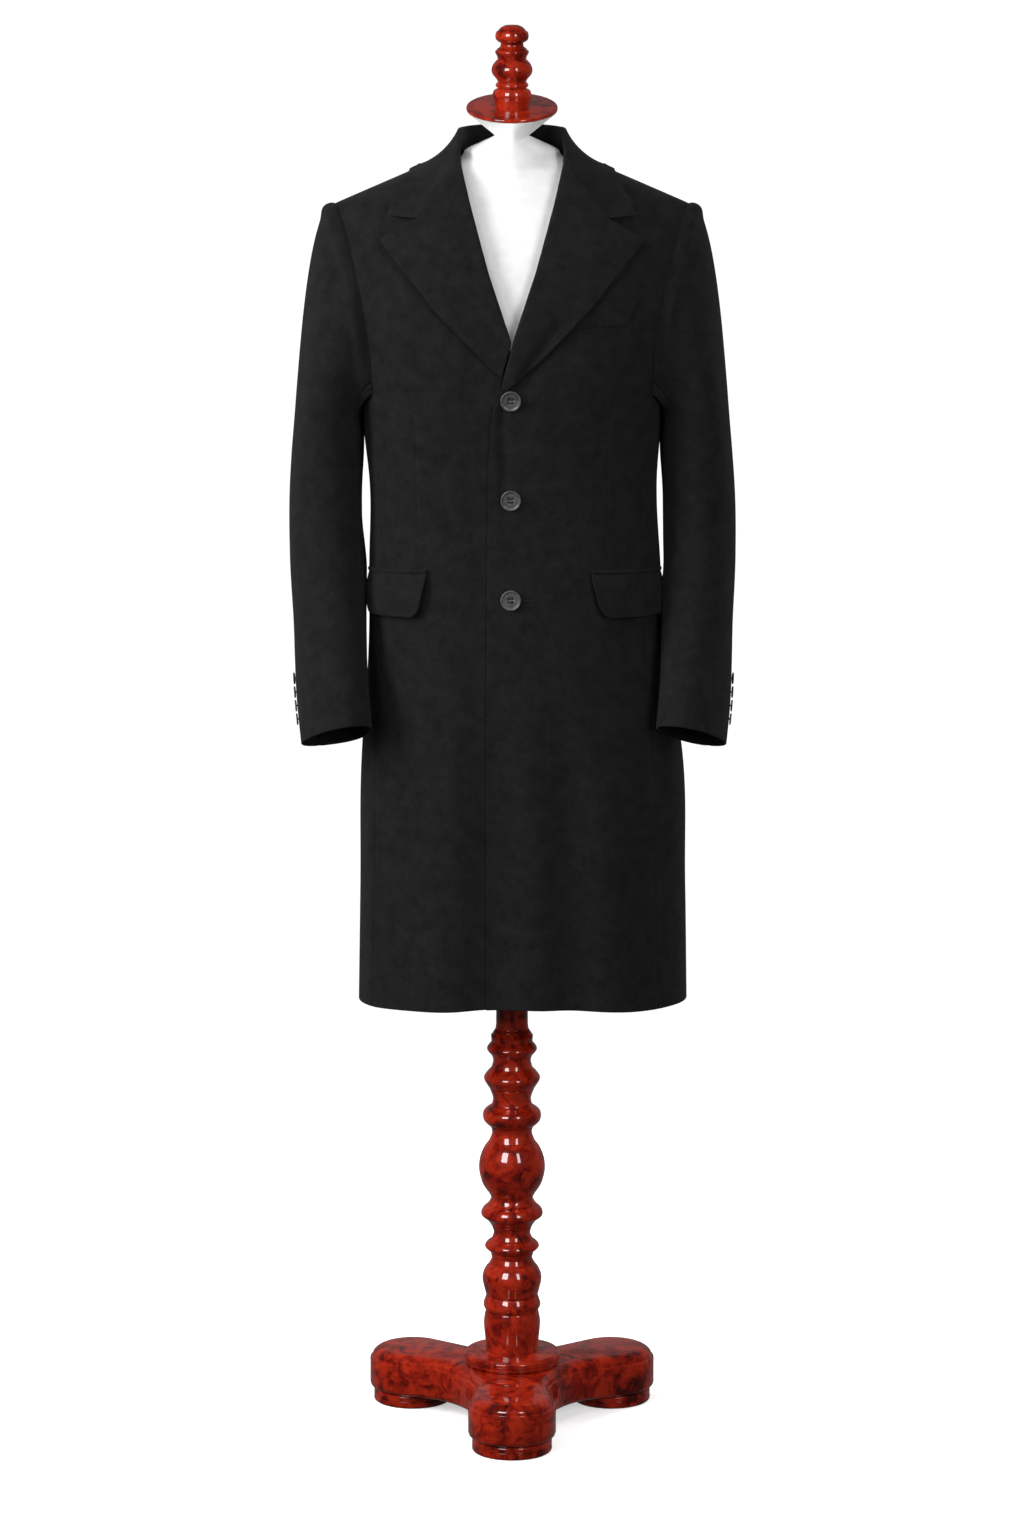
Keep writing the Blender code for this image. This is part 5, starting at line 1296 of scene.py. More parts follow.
@dataclass
class Sleeve:
    """Long two-piece sleeve set into the armhole, with a slanting cuff."""

    side: Side
    coat: CoatBody
    grids: dict
    cap_rows: int = 40
    cap_power: float = 1.6
    arm_rows: int = 96
    arm_power: float = 1.15
    cap_reach: float = 0.34
    cuff_tilt_y: float = -0.37
    cuff_tilt_x: float = -0.16
    cuff_levels: tuple = (1.20, 0.90)
    # lean to the body and fullness beside the skirt, each for the wearer's left and right
    leans: tuple = (0.0, 0.0045)
    fullness: tuple = (-0.0010, 0.0078)
    lean_levels: tuple = (1.24, 0.93)
    power: float = 2.15
    twist: float = 18.0
    front_cut: float = 0.045
    back_cut: float = 0.13
    inset: float = 0.0002
    outset: float = 0.0004
    rope: float = 0.0044
    rope_place: float = 0.012
    rope_width: float = 0.010
    # the head is full above the second of these levels and less so below the first
    rope_levels: tuple = (1.33, 1.45)
    rope_least: float = 0.45
    seam_sink: float = 0.0008
    seam_sink_reach: float = 0.0028
    # distances from the armhole between which the creases fade in
    crease_span: tuple = (0.004, 0.04)
    turning_depth: float = 0.0034
    turnings: tuple = (0.009, 0.006, 0.003)
    relief_radius: float = 0.052
    creases: tuple = tuple(Crease(*row) for row in (
        ((60.0, 1.190), (15.0, 1.120), 0.016, -0.0016),
        ((75.0, 1.130), (25.0, 1.075), 0.015, 0.0014),
        ((100.0, 1.150), (150.0, 1.090), 0.014, -0.0020),
        ((110.0, 1.100), (160.0, 1.050), 0.014, 0.0018),
        ((-60.0, 1.260), (-40.0, 0.980), 0.018, -0.0016),
        ((-25.0, 1.300), (-15.0, 1.000), 0.020, 0.0014),
        ((30.0, 1.420), (35.0, 1.240), 0.020, -0.0012),
        ((-100.0, 1.280), (-80.0, 1.080), 0.018, 0.0014),
        ((20.0, 1.050), (5.0, 0.930), 0.020, -0.0012),
        # full inner side, close to the body under the arm
        ((180.0, 1.360), (180.0, 1.190), 0.032, 0.0032, 0.1, 0.5),
    ))

    def loop(self) -> tuple[Array, int, int]:
        """Armhole from the shoulder down the front, under and up the back, with the two seams."""
        rows = self.coat.rows_below
        front = self.grids["front", self.side][rows - 1:, -1][::-1]
        under = self.grids["side", self.side][-1]
        back = self.grids["back", self.side][rows - 1:, 0]
        top = 0.5 * (front[0] + back[-1])
        front_low, back_low = 0.5 * (front[-1] + under[0]), 0.5 * (under[-1] + back[0])
        line = np.concatenate([[top], front[1:-1], [front_low], under[1:-1], [back_low], back[1:-1]])
        shares = np.concatenate([[0.0], self.coat.row_shares()[1]])
        up_front = int(np.argmin(np.abs(shares - self.front_cut)))
        up_back = int(np.argmin(np.abs(shares - self.back_cut)))
        front_mark = len(front) - 1
        return line, front_mark - up_front, front_mark + len(under) - 1 + up_back

    def ring(self, level: float, turns: Array) -> Array:
        """Ring of the sleeve at a height; turns are measured from its outer edge."""
        centre_x, centre_y, seen, deep, tilt = smooth_table(SLEEVE_LEVELS, np.array([level]))[0]
        tilt = math.radians(tilt)
        wide = math.sqrt(max(seen ** 2 - (deep * math.sin(tilt)) ** 2, 1e-5)) / math.cos(tilt)
        power = 2.0 / self.power
        across = np.sign(np.cos(turns)) * np.abs(np.cos(turns)) ** power * wide
        ahead = np.sign(np.sin(turns)) * np.abs(np.sin(turns)) ** power * deep
        x = across * math.cos(tilt) + ahead * math.sin(tilt)
        y = -across * math.sin(tilt) + ahead * math.cos(tilt)
        cuff = float(ease(*self.cuff_levels, level))
        z = level + cuff * (self.cuff_tilt_y * y + self.cuff_tilt_x * x)
        start, full = self.lean_levels
        lean = self.leans[self.side is Side.RIGHT] * min(max((start - level) / (start - full), 0.0), 1.0)
        return xyz(self.side.value * (centre_x - lean + x), AXIS_Y + centre_y + y, z)

    def grid(self) -> tuple[Array, Array, int, int]:
        """Face of the whole sleeve, its turns, and the columns of its two seams."""
        line, front_cut, back_cut = self.loop()
        centre = line.mean(axis=0)
        lengths = np.linalg.norm(np.roll(line, -1, axis=0) - line, axis=1)
        turns = -2 * math.pi * np.concatenate([[0.0], np.cumsum(lengths)[:-1]]) / lengths.sum()
        inward = centre - line
        inward[:, 0] = 0.0
        outward = np.array([float(self.side.value), 0.0, 0.0])
        start = line + unit(inward) * (HALF_GAP + self.inset) + outward * self.outset
        first, last = SLEEVE_LEVELS[-1][0], SLEEVE_LEVELS[0][0]
        target = self.ring(first, turns)
        down = unit(self.ring(first - 0.02, turns) - target)
        reach = np.linalg.norm(target - start, axis=1, keepdims=True)
        leave = outward * reach * self.cap_reach
        under = unit(inward)
        rows = [line + under * self.turning_depth - outward * reach_in for reach_in in self.turnings]
        levels = [row[:, 2] for row in rows]
        for step in np.linspace(0.0, 1.0, self.cap_rows + 1)[:-1] ** self.cap_power:
            rows.append((1 + 2 * step) * (1 - step) ** 2 * start + step * (1 - step) ** 2 * leave
                        + step ** 2 * (3 - 2 * step) * target + step ** 2 * (step - 1) * down * reach)
            levels.append(rows[-1][:, 2])
        for step in 1.0 - (1.0 - np.linspace(0.0, 1.0, self.arm_rows)) ** self.arm_power:
            level = first + (last - first) * step
            turned = turns - math.radians(self.twist) * float(ease(0.0, 1.0, step))
            rows.append(self.ring(level, turned))
            levels.append(np.full(len(turns), level))
        return np.stack(rows), np.stack(levels), turns, front_cut, back_cut

    def build(self, surface: Material) -> dict:
        """Make the top sleeve and the under sleeve.

        Args:
            surface: Material of the cloth.

        Returns:
            Objects and cloth by name.
        """
        face, levels, turns, front_cut, back_cut = self.grid()
        out = facing(face, np.array([0.0, 0.0, 0.0]), around=True)
        if np.dot(out[-1, 0], [self.side.value, 0, 0]) < 0:
            out = -out
        degrees = np.degrees((turns + math.pi) % (2 * math.pi) - math.pi)
        degrees = np.broadcast_to(-degrees, levels.shape)
        full = self.fullness[self.side is Side.RIGHT]
        beside_skirt = Crease((180.0, 1.165), (180.0, 0.860), 0.030, full, 0.25, 0.0)
        lift = total_relief(self.creases + (beside_skirt,), degrees, levels, self.relief_radius)
        away = distance_from(Border.FIRST_ROW, face)
        away = away - away[len(self.turnings)]
        rope = self.rope * np.exp(-((away - self.rope_place) / self.rope_width) ** 2)
        head = self.rope_least + (1.0 - self.rope_least) * ease(*self.rope_levels, face[:1, :, 2])
        sink = self.seam_sink * np.exp(-(away / self.seam_sink_reach) ** 2)
        lift = lift * ease(*self.crease_span, away) + rope * head - sink
        face = face + out * lift[..., None]
        columns = face.shape[1]
        picks = {
            "top": [column % columns for column in range(back_cut, columns + front_cut + 1)],
            "under": list(range(front_cut, back_cut + 1)),
        }
        made = {}
        for label, chosen in picks.items():
            node = f"sleeve_{label}_{self.side.word}"
            piece = ClothPiece(f"wool_{node}", face[:, chosen], out[:, chosen], WALL,
                               (Border.FIRST_COLUMN, Border.LAST_COLUMN))
            made[label] = piece.settled(surface, node)
        return made


@dataclass
class Pocket:
    """Hip pocket: a flap under a narrow jet, both lying over the front and the side panel."""

    coat: CoatBody
    side: Side
    inner_x: float
    top_z: float = 1.1035
    bottom_z: float = 1.0505
    jet_top_z: float = 1.1090
    outer_degrees: float = 78.0
    length: float = 0.125
    corner: float = 0.0190
    slant: float = 0.0060
    fall_top: float = 0.0070
    fall_bottom: float = 0.0040
    clear: float = 0.0022
    swell: float = 0.0036
    jet_wall: float = 0.0024
    jet_gap: float = 0.0011
    jet_crown: float = 0.0007
    jet_rows: int = 9
    rows: int = 26
    columns: int = 64

    def surface(self, angles: Array, heights: Array) -> Array:
        """Face of the coat under the pocket."""
        return BODY.face(angles, heights) + BODY.out(angles, heights) * (
            self.coat.relief(angles, heights)[..., None])

    def build(self, surface: Material) -> dict:
        """Make the flap and the jet.

        Args:
            surface: Material of the cloth.

        Returns:
            Objects and cloth by name.
        """
        inner = BODY.angle_at(self.inner_x * self.side.value, self.top_z)
        outer = self.side.value * math.radians(self.outer_degrees)
        share = spaced(self.columns, 0.9)
        angles = inner + (outer - inner) * share
        from_end = self.length * np.minimum(share, 1.0 - share)
        short = np.clip(self.corner - from_end, 0.0, self.corner)
        rise = self.corner - np.sqrt(self.corner ** 2 - short ** 2)
        down = spaced(self.rows, 0.8)
        top = self.top_z - self.fall_top * share
        heights = top + down[:, None] * (self.bottom_z - self.fall_bottom * share + rise - top)
        angles_2d = np.broadcast_to(angles, heights.shape)
        base = self.surface(angles_2d, heights)
        base[..., 0] += self.side.value * self.slant * down[:, None] * (1.0 - share)[None, :]
        out = BODY.out(angles_2d, heights)
        swell = self.swell * np.sin(0.6 * math.pi * down)[:, None]
        face = base + out * (TRIM_WALL + self.clear + swell)[..., None]
        flap = ClothPiece(f"wool_flap_{self.side.word}", face, out, TRIM_WALL)
        heights = top + np.linspace(self.jet_gap, self.jet_top_z - self.top_z, self.jet_rows)[:, None]
        angles_2d = np.broadcast_to(angles, heights.shape)
        out = BODY.out(angles_2d, heights)
        crown = self.jet_crown * np.sin(math.pi * np.linspace(0.0, 1.0, self.jet_rows))[:, None]
        face = self.surface(angles_2d, heights) + out * (self.jet_wall + self.clear + crown)[..., None]
        jet = ClothPiece(f"wool_jet_{self.side.word}", face, out, self.jet_wall)
        return {
            "flap": flap.settled(surface, f"pocket_flap_{self.side.word}"),
            "jet": jet.settled(surface, f"pocket_jet_{self.side.word}"),
        }


@dataclass
class BreastWelt:
    """Slanting welt of the breast pocket on the wearer's left."""

    coat: CoatBody
    corners: tuple = ((0.0985, 1.4343), (0.1555, 1.4399), (0.1378, 1.4094), (0.0754, 1.4082))
    clear: float = 0.0003
    wall: float = 0.0011
    swell: float = 0.0005
    columns: int = 40
    rows: int = 18

    def build(self, surface: Material) -> tuple:
        """Make the welt and return its object and cloth."""
        corners = np.array(self.corners)
        across = spaced(self.columns, 0.85)[None, :, None]
        down = spaced(self.rows, 0.85)[:, None, None]
        top = corners[0] + (corners[1] - corners[0]) * across
        low = corners[3] + (corners[2] - corners[3]) * across
        places = top + (low - top) * down
        base, out = self.coat.at(places[..., 0], places[..., 1], Side.LEFT)
        swell = self.swell * np.sin(math.pi * down[..., 0])
        face = base + out * (self.wall + self.clear + swell)[..., None]
        piece = ClothPiece("wool_breast_welt", face, out, self.wall)
        return piece.settled(surface, "breast_welt")


def tree_of(*things: Object) -> BVHTree:
    """Search tree over the faces of some objects."""
    points, faces = [], []
    for one in things:
        offset = len(points)
        points.extend(vertex.co.copy() for vertex in one.data.vertices)
        for polygon in one.data.polygons:
            faces.append(tuple(index + offset for index in polygon.vertices))
    return BVHTree.FromPolygons(points, faces)


def seat_on(tree: BVHTree, place: Array, direction: object, reach: float) -> Array:
    """Where a line from outside meets the cloth."""
    direction = Vector(direction).normalized()
    return np.array(tree.ray_cast(Vector(place) - direction * reach, direction, 2 * reach)[0])


def tube(path: Array, radius: float, sides: int, offset: int) -> tuple[Array, list]:
    """Points and faces of a round closed tube along a path.

    Args:
        path: Points on its middle line.
        radius: Its radius.
        sides: Points round it.
        offset: Number of its first point.

    Returns:
        Points and faces.
    """
    along = unit(np.gradient(path, axis=0))
    helper = np.array([0.0, 0.0, 1.0]) if abs(along[0][2]) < 0.8 else np.array([1.0, 0.0, 0.0])
    one = unit(np.cross(along, helper))
    two = np.cross(along, one)
    turns = full_turn(sides)
    ring = np.cos(turns)[None, :, None] * one[:, None] + np.sin(turns)[None, :, None] * two[:, None]
    return closed_skin(path[:, None] + ring * radius, offset)


def tubes(paths: list, radius: float, sides: int) -> tuple[Array, list]:
    """Points and faces of several tubes."""
    points, faces = [], []
    for path in paths:
        more, joined = tube(np.asarray(path), radius, sides, sum(len(part) for part in points))
        points.append(more)
        faces += joined
    return np.concatenate(points), faces


def thread_piece(name: str, paths: list, radius: float, surface: Material) -> Object:
    """One object of several threads."""
    points, faces = tubes(paths, radius, 6)
    flat = np.stack([points[:, 0] + points[:, 1], points[:, 2]], axis=-1)
    return link_mesh(name, points, faces, surface, flat)


@dataclass
class Buttons:
    """Four-hole horn buttons with a raised rim, sewn on with two bars of thread."""

    horn: Material
    thread: Material
    rim_profile: tuple = (
        (0.0000, 0.0), (0.0000, 0.62), (0.0002, 0.80), (0.0008, 0.93), (0.0015, 0.99), (0.0022, 1.0),
        (0.0030, 0.985), (0.0036, 0.95), (0.0038, 0.90), (0.0036, 0.84), (0.0030, 0.78), (0.0026, 0.72),
        (0.0026, 0.66), (0.0027, 0.55), (0.0027, 0.0),
    )
    spread: float = 0.17
    hole: float = 0.085
    large: float = 0.0128
    small: float = 0.0074
    segments: int = 48
    lift: float = 0.0006
    # heights on the large button between which its holes are drilled
    drill: tuple = (-0.003, 0.004, 0.010)
    # height of its plate inside the rim, radius of the thread, its depth in the holes, its arch and shank
    plate: float = 0.0027
    thread_radius: float = 0.00032
    sunk: float = 0.0012
    arch: float = 0.0003
    shank: float = 0.0016
    shank_turns: int = 5

    def blank(self, radius: float) -> Object:
        """Turned button with its four holes cut, lying at the origin.

        Args:
            radius: Radius of the button.

        Returns:
            The object, which only lends its mesh.
        """
        scale = radius / self.large
        turns = full_turn(self.segments)
        rings = [xyz(radius * part * np.sin(turns), radius * part * np.cos(turns), height * scale)
                 for height, part in self.rim_profile[1:-1]]
        made = link_mesh("button_blank", *closed_skin(rings), self.horn, crisp=50.0)
        spread = self.spread * radius
        paths = [xyz(sign_x * spread, sign_y * spread, self.drill)
                 for sign_x, sign_y in ((-1, -1), (1, -1), (1, 1), (-1, 1))]
        cutter = link_mesh("button_cutter", *tubes(paths, self.hole * radius, 20), self.horn)
        holes = made.modifiers.new("holes", "BOOLEAN")
        holes.operation, holes.solver, holes.object = "DIFFERENCE", "EXACT", cutter
        graph = bpy.context.evaluated_depsgraph_get()
        cut = bpy.data.meshes.new_from_object(made.evaluated_get(graph))
        bpy.data.objects.remove(cutter, do_unlink=True)
        made.modifiers.clear()
        made.data = cut
        return made

    def sew(self, name: str, blank: Object, radius: float, spot: Array, out: Array, node: str) -> tuple:
        """Put a copy of a button on the cloth with its thread.

        Args:
            name: Name of the button.
            blank: Button at the origin.
            radius: Radius of the button.
            spot: Point on the cloth.
            out: Direction out of the cloth.
            node: CAD node that it stands for.

        Returns:
            The button and its thread.
        """
        direction = Vector(out).normalized()
        place = direction.to_track_quat("Z", "Y").to_matrix().to_4x4()
        place.translation = Vector(spot) + direction * self.lift
        mesh = blank.data.copy()
        mesh.transform(place)
        made = put(name, mesh)
        scale = radius / self.large
        top = self.plate * scale
        spread = self.spread * radius
        thread_radius = self.thread_radius * scale
        paths = []
        arch = np.linspace(0.0, 1.0, 9)
        for row in (-1, 1):
            for strand in (-0.75, 0.75):
                y = row * spread + strand * thread_radius
                x = -spread + 2 * spread * arch
                above, below = top + thread_radius * 1.2, top - self.sunk * scale
                rise = np.where((arch > 0) & (arch < 1), above, below)
                paths.append(xyz(x, y, rise + self.arch * scale * np.sin(math.pi * arch)))
        turns = np.linspace(0.0, 2 * math.pi * self.shank_turns, 60)
        shank = self.shank * scale
        rise = np.linspace(-self.lift, 0.0001, 60)
        paths.append(xyz(shank * np.cos(turns), shank * np.sin(turns), rise))
        world = [np.array([place @ Vector(point) for point in path]) for path in paths]
        thread = thread_piece(f"{name}_thread", world, thread_radius, self.thread)
        settle(made, HORN_SLOT, node)
        settle(thread, HORN_SLOT)
        return made, thread


@dataclass
class Buttonholes:
    """Worked buttonholes that run from each front button, with a bar at the far end."""

    coat: CoatBody
    thread: Material
    start_x: float = 0.0125
    end_x: float = 0.0240
    stitch: float = 0.0015
    pitch: float = 0.0006
    radius: float = 0.00022
    lift: float = 0.0001
    # half widths of the slit, of the cord along it and of the bar; threads of the bar and their spacing
    slit_half: float = 0.0002
    cord_half: float = 0.0003
    bar_half: float = 0.0026
    bar_threads: int = 5
    bar_pitch: float = 0.8

    def at(self, x: object, z: object) -> Array:
        """Points just above the lapping front."""
        face, out = self.coat.at(np.asarray(x, float), np.asarray(z, float), Side.LEFT)
        return face + out * self.lift

    def build(self, number: int, height: float) -> Object:
        """Work one buttonhole.

        Args:
            number: Number of the button.
            height: Height of the hole.

        Returns:
            The object.
        """
        paths = []
        for x in np.arange(self.start_x, self.end_x, self.pitch):
            for sign in (-1, 1):
                z = height + sign * np.linspace(self.slit_half, self.stitch, 4)
                paths.append(self.at(np.full(4, x), z))
        for step in range(self.bar_threads):
            x = np.full(8, self.end_x + step * self.pitch * self.bar_pitch)
            paths.append(self.at(x, height + np.linspace(-1.0, 1.0, 8) * self.bar_half))
        for sign in (-1, 1):
            x = np.linspace(self.start_x, self.end_x, 24)
            paths.append(self.at(x, np.full(24, height + sign * self.cord_half)))
        return settle(thread_piece(f"buttonhole_{number}", paths, self.radius, self.thread), COAT_SLOT)


@dataclass
class Turned:
    """Piece turned on a lathe, smooth between its crisp grooves."""

    name: str
    profile: tuple
    crisp: tuple
    centre: tuple[float, float]
    node: str
    grooves: tuple = ()
    segments: int = 96
    steps: int = 7
    groove: float = 0.0008
    groove_half: float = 0.0006
    bottom_lean: float = 0.0

    def fine_profile(self) -> Array:
        """Heights and radii on smooth curves that meet at the crisp heights."""
        heights = [row[0] for row in self.profile]
        inner = [k for k in range(1, len(heights) - 1)
                 if min(abs(heights[k] - place) for place in self.crisp) < 1e-5]
        cuts = [0, *inner, len(heights) - 1]
        made = [np.array([self.profile[0]])]
        for first, last in zip(cuts, cuts[1:]):
            rows = np.array(self.profile[first:last + 1])
            share = np.linspace(0.0, len(rows) - 1.0, (len(rows) - 1) * self.steps + 1)
            table = np.column_stack([np.arange(len(rows)), rows])
            made.append((smooth_table(table, share) if len(rows) > 2 else
                         rows[0] + (rows[1] - rows[0]) * share[:, None])[1:])
        line = np.concatenate(made)
        for place in self.grooves:
            radius = float(np.interp(place, line[:, 0], line[:, 1]))
            line = line[np.abs(line[:, 0] - place) > self.groove_half * 1.2]
            edges = place + self.groove_half * np.array([-1.0, 0.0, 1.0])
            depths = radius - self.groove * np.array([0.0, 1.0, 0.0])
            line = np.vstack([line, np.column_stack([edges, depths])])
            line = line[np.argsort(line[:, 0], kind="stable")]
        return line

    def build(self, surface: Material, slot: str) -> Object:
        """Turn the piece.

        Args:
            surface: Material.
            slot: Material slot, which is only logged.

        Returns:
            The object.
        """
        profile = self.fine_profile()
        turns = full_turn(self.segments)
        rings = []
        for order, (height, radius) in enumerate(profile):
            x, y = radius * np.sin(turns), -radius * np.cos(turns)
            lean = self.bottom_lean if order == 0 else 0.0
            rings.append(xyz(self.centre[0] + x, self.centre[1] + y, height + y * math.tan(lean)))
        return settle(link_mesh(self.name, *closed_skin(rings), surface, crisp=38.0), slot, self.node)


@dataclass
class DressForm:
    """Limbless torso with its neck, and the leaning cap on it."""

    cap_z: float = 1.6640
    cap_lean: float = math.radians(13.0)
    cap_radius: float = 0.0560
    cap_thick: float = 0.0040
    cap_back: float = 0.0012
    cap_profile: tuple = (
        (-0.50, 0.0), (-0.50, 0.970), (-0.42, 0.990), (-0.25, 1.0), (0.15, 1.0), (0.32, 0.994),
        (0.46, 0.978), (0.50, 0.960), (0.50, 0.0),
    )
    cap_clear: float = 0.0003
    neck_share: float = 0.995
    seat: float = 0.0004
    knit_radius: float = 0.14
    segments: int = 128
    rows: int = 110

    def ridge_limit(self, height: Array) -> Array:
        """Half width where a height meets the line just under the coat's shoulder ridge."""
        under = (WALL + self.seat) * math.hypot(1.0, BODY.slope)
        return BODY.shoulder_x - (height + under - BODY.shoulder_z) / BODY.slope

    def torso(self, surface: Material) -> Object:
        """Make the torso."""
        levels = np.array(FORM_LEVELS)
        share, knots = (np.linspace(0.0, 1.0, count) for count in (self.rows, len(levels)))
        heights = np.interp(share, knots, levels[:, 0])
        turns = full_turn(self.segments)
        rings = []
        for height in heights:
            half, front, back, power = smooth_table(FORM_LEVELS, height)
            half = min(half, float(self.ridge_limit(height)))
            depth = np.where(np.cos(turns) > 0, front, back)
            reach = (np.abs(np.sin(turns) / half) ** power
                     + np.abs(np.cos(turns) / depth) ** power) ** (-1.0 / power)
            rings.append(xyz(reach * np.sin(turns), AXIS_Y - reach * np.cos(turns), height))
        under_cap = self.cap_z - (self.cap_thick / 2 + self.cap_clear) / math.cos(self.cap_lean)
        y = -self.cap_radius * np.cos(turns) * math.cos(self.cap_lean)
        last = xyz(self.cap_radius * self.neck_share * np.sin(turns), AXIS_Y + self.cap_back + y,
                   under_cap + y * math.tan(self.cap_lean))
        rings += [rings[-1] + (last - rings[-1]) * share for share in np.linspace(0.0, 1.0, 9)[1:]]
        points, faces = closed_skin(rings)
        flat = np.stack([np.tile(turns * self.knit_radius, len(rings)), points[:, 2]], axis=-1)
        made = link_mesh("form_cover", points, faces, surface, flat, crisp=60.0)
        return settle(made, COVER_SLOT, "form_torso")

    def cap(self, surface: Material) -> Object:
        """Make the lacquered disc that closes the neck."""
        turns = full_turn(self.segments)
        rings = []
        for share, part in self.cap_profile[1:-1]:
            x, across = self.cap_radius * part * np.sin(turns), -self.cap_radius * part * np.cos(turns)
            thick = share * self.cap_thick
            y = across * math.cos(self.cap_lean) - thick * math.sin(self.cap_lean)
            z = across * math.sin(self.cap_lean) + thick * math.cos(self.cap_lean)
            rings.append(xyz(x, AXIS_Y + self.cap_back + y, self.cap_z + z))
        made = link_mesh("lacquer_cap", *closed_skin(rings), surface, crisp=30.0)
        return settle(made, WOOD_SLOT, "neck_cap")

    def finial(self) -> Turned:
        """The finial, whose foot follows the leaning cap."""
        top = (self.cap_z + (self.cap_thick / 2 + self.cap_clear) / math.cos(self.cap_lean)
               - self.cap_back * math.tan(self.cap_lean))
        profile = ((top, FINIAL_PROFILE[0][1]), *FINIAL_PROFILE[1:])
        return Turned("lacquer_finial", profile, FINIAL_CRISP, (0.0, AXIS_Y), "finial", FINIAL_CRISP,
                      bottom_lean=self.cap_lean)


@dataclass
class StandBase:
    """Three-legged base with a moulded upper edge, on three round feet."""

    reach: float = 0.1470
    leg_radius: float = 0.0550
    arc: float = math.radians(96.0)
    waist: float = 0.0720
    leg_steps: int = 40
    hollow_steps: int = 28
    hollow_turn: float = 0.95
    edge: tuple = (
        (0.0080, 0.0166), (0.0040, 0.0180), (0.0012, 0.0205), (0.0000, 0.0240), (0.0000, 0.0400),
        (0.0000, 0.0555), (0.0006, 0.0572), (0.0030, 0.0580), (0.0034, 0.0590), (0.0034, 0.0612),
        (0.0042, 0.0632), (0.0064, 0.0656), (0.0096, 0.0680), (0.0130, 0.0695), (0.0160, 0.0700),
    )

    def outline(self, inset: float) -> Array:
        """Outline of the three legs, drawn in by the inset."""
        far, clear, half_turn = self.leg_radius - inset, self.waist - inset, math.pi / 3
        over = ((self.reach ** 2 - (far - clear) ** 2)
                / (2 * (self.reach * math.cos(half_turn) + far - clear)))
        hollow = over - clear
        points = []
        for leg in range(3):
            heading = -math.pi / 2 + leg * 2 * math.pi / 3
            turn = heading + self.arc * np.linspace(-1.0, 1.0, self.leg_steps + 1)
            points.append(np.stack([self.reach * math.cos(heading) + far * np.cos(turn),
                                    self.reach * math.sin(heading) + far * np.sin(turn)], axis=-1))
            between = heading + half_turn
            share = np.linspace(0.0, 1.0, self.hollow_steps + 2)[1:-1]
            turn = between + math.pi + self.hollow_turn * (0.5 - share)
            points.append(np.stack([over * math.cos(between) + hollow * np.cos(turn),
                                    over * math.sin(between) + hollow * np.sin(turn)], axis=-1))
        return np.concatenate(points)

    def build(self, surface: Material) -> list:
        """Make the base and its feet.

        Args:
            surface: Lacquer.

        Returns:
            The pieces.
        """
        rings = []
        for inset, height in self.edge:
            line = self.outline(inset)
            rings.append(xyz(line[:, 0], AXIS_Y + line[:, 1], height))
        base = link_mesh("lacquer_base", *closed_skin(rings), surface, crisp=30.0)
        made = [settle(base, WOOD_SLOT, "base")]
        for leg, word in enumerate(("front", "left", "right")):
            heading = -math.pi / 2 + leg * 2 * math.pi / 3
            centre = (self.reach * math.cos(heading), AXIS_Y + self.reach * math.sin(heading))
            foot = Turned(f"lacquer_foot_{word}", FOOT_PROFILE, FOOT_CRISP, centre,
                          f"foot_{word}", segments=64)
            made.append(foot.build(surface, WOOD_SLOT))
        return made


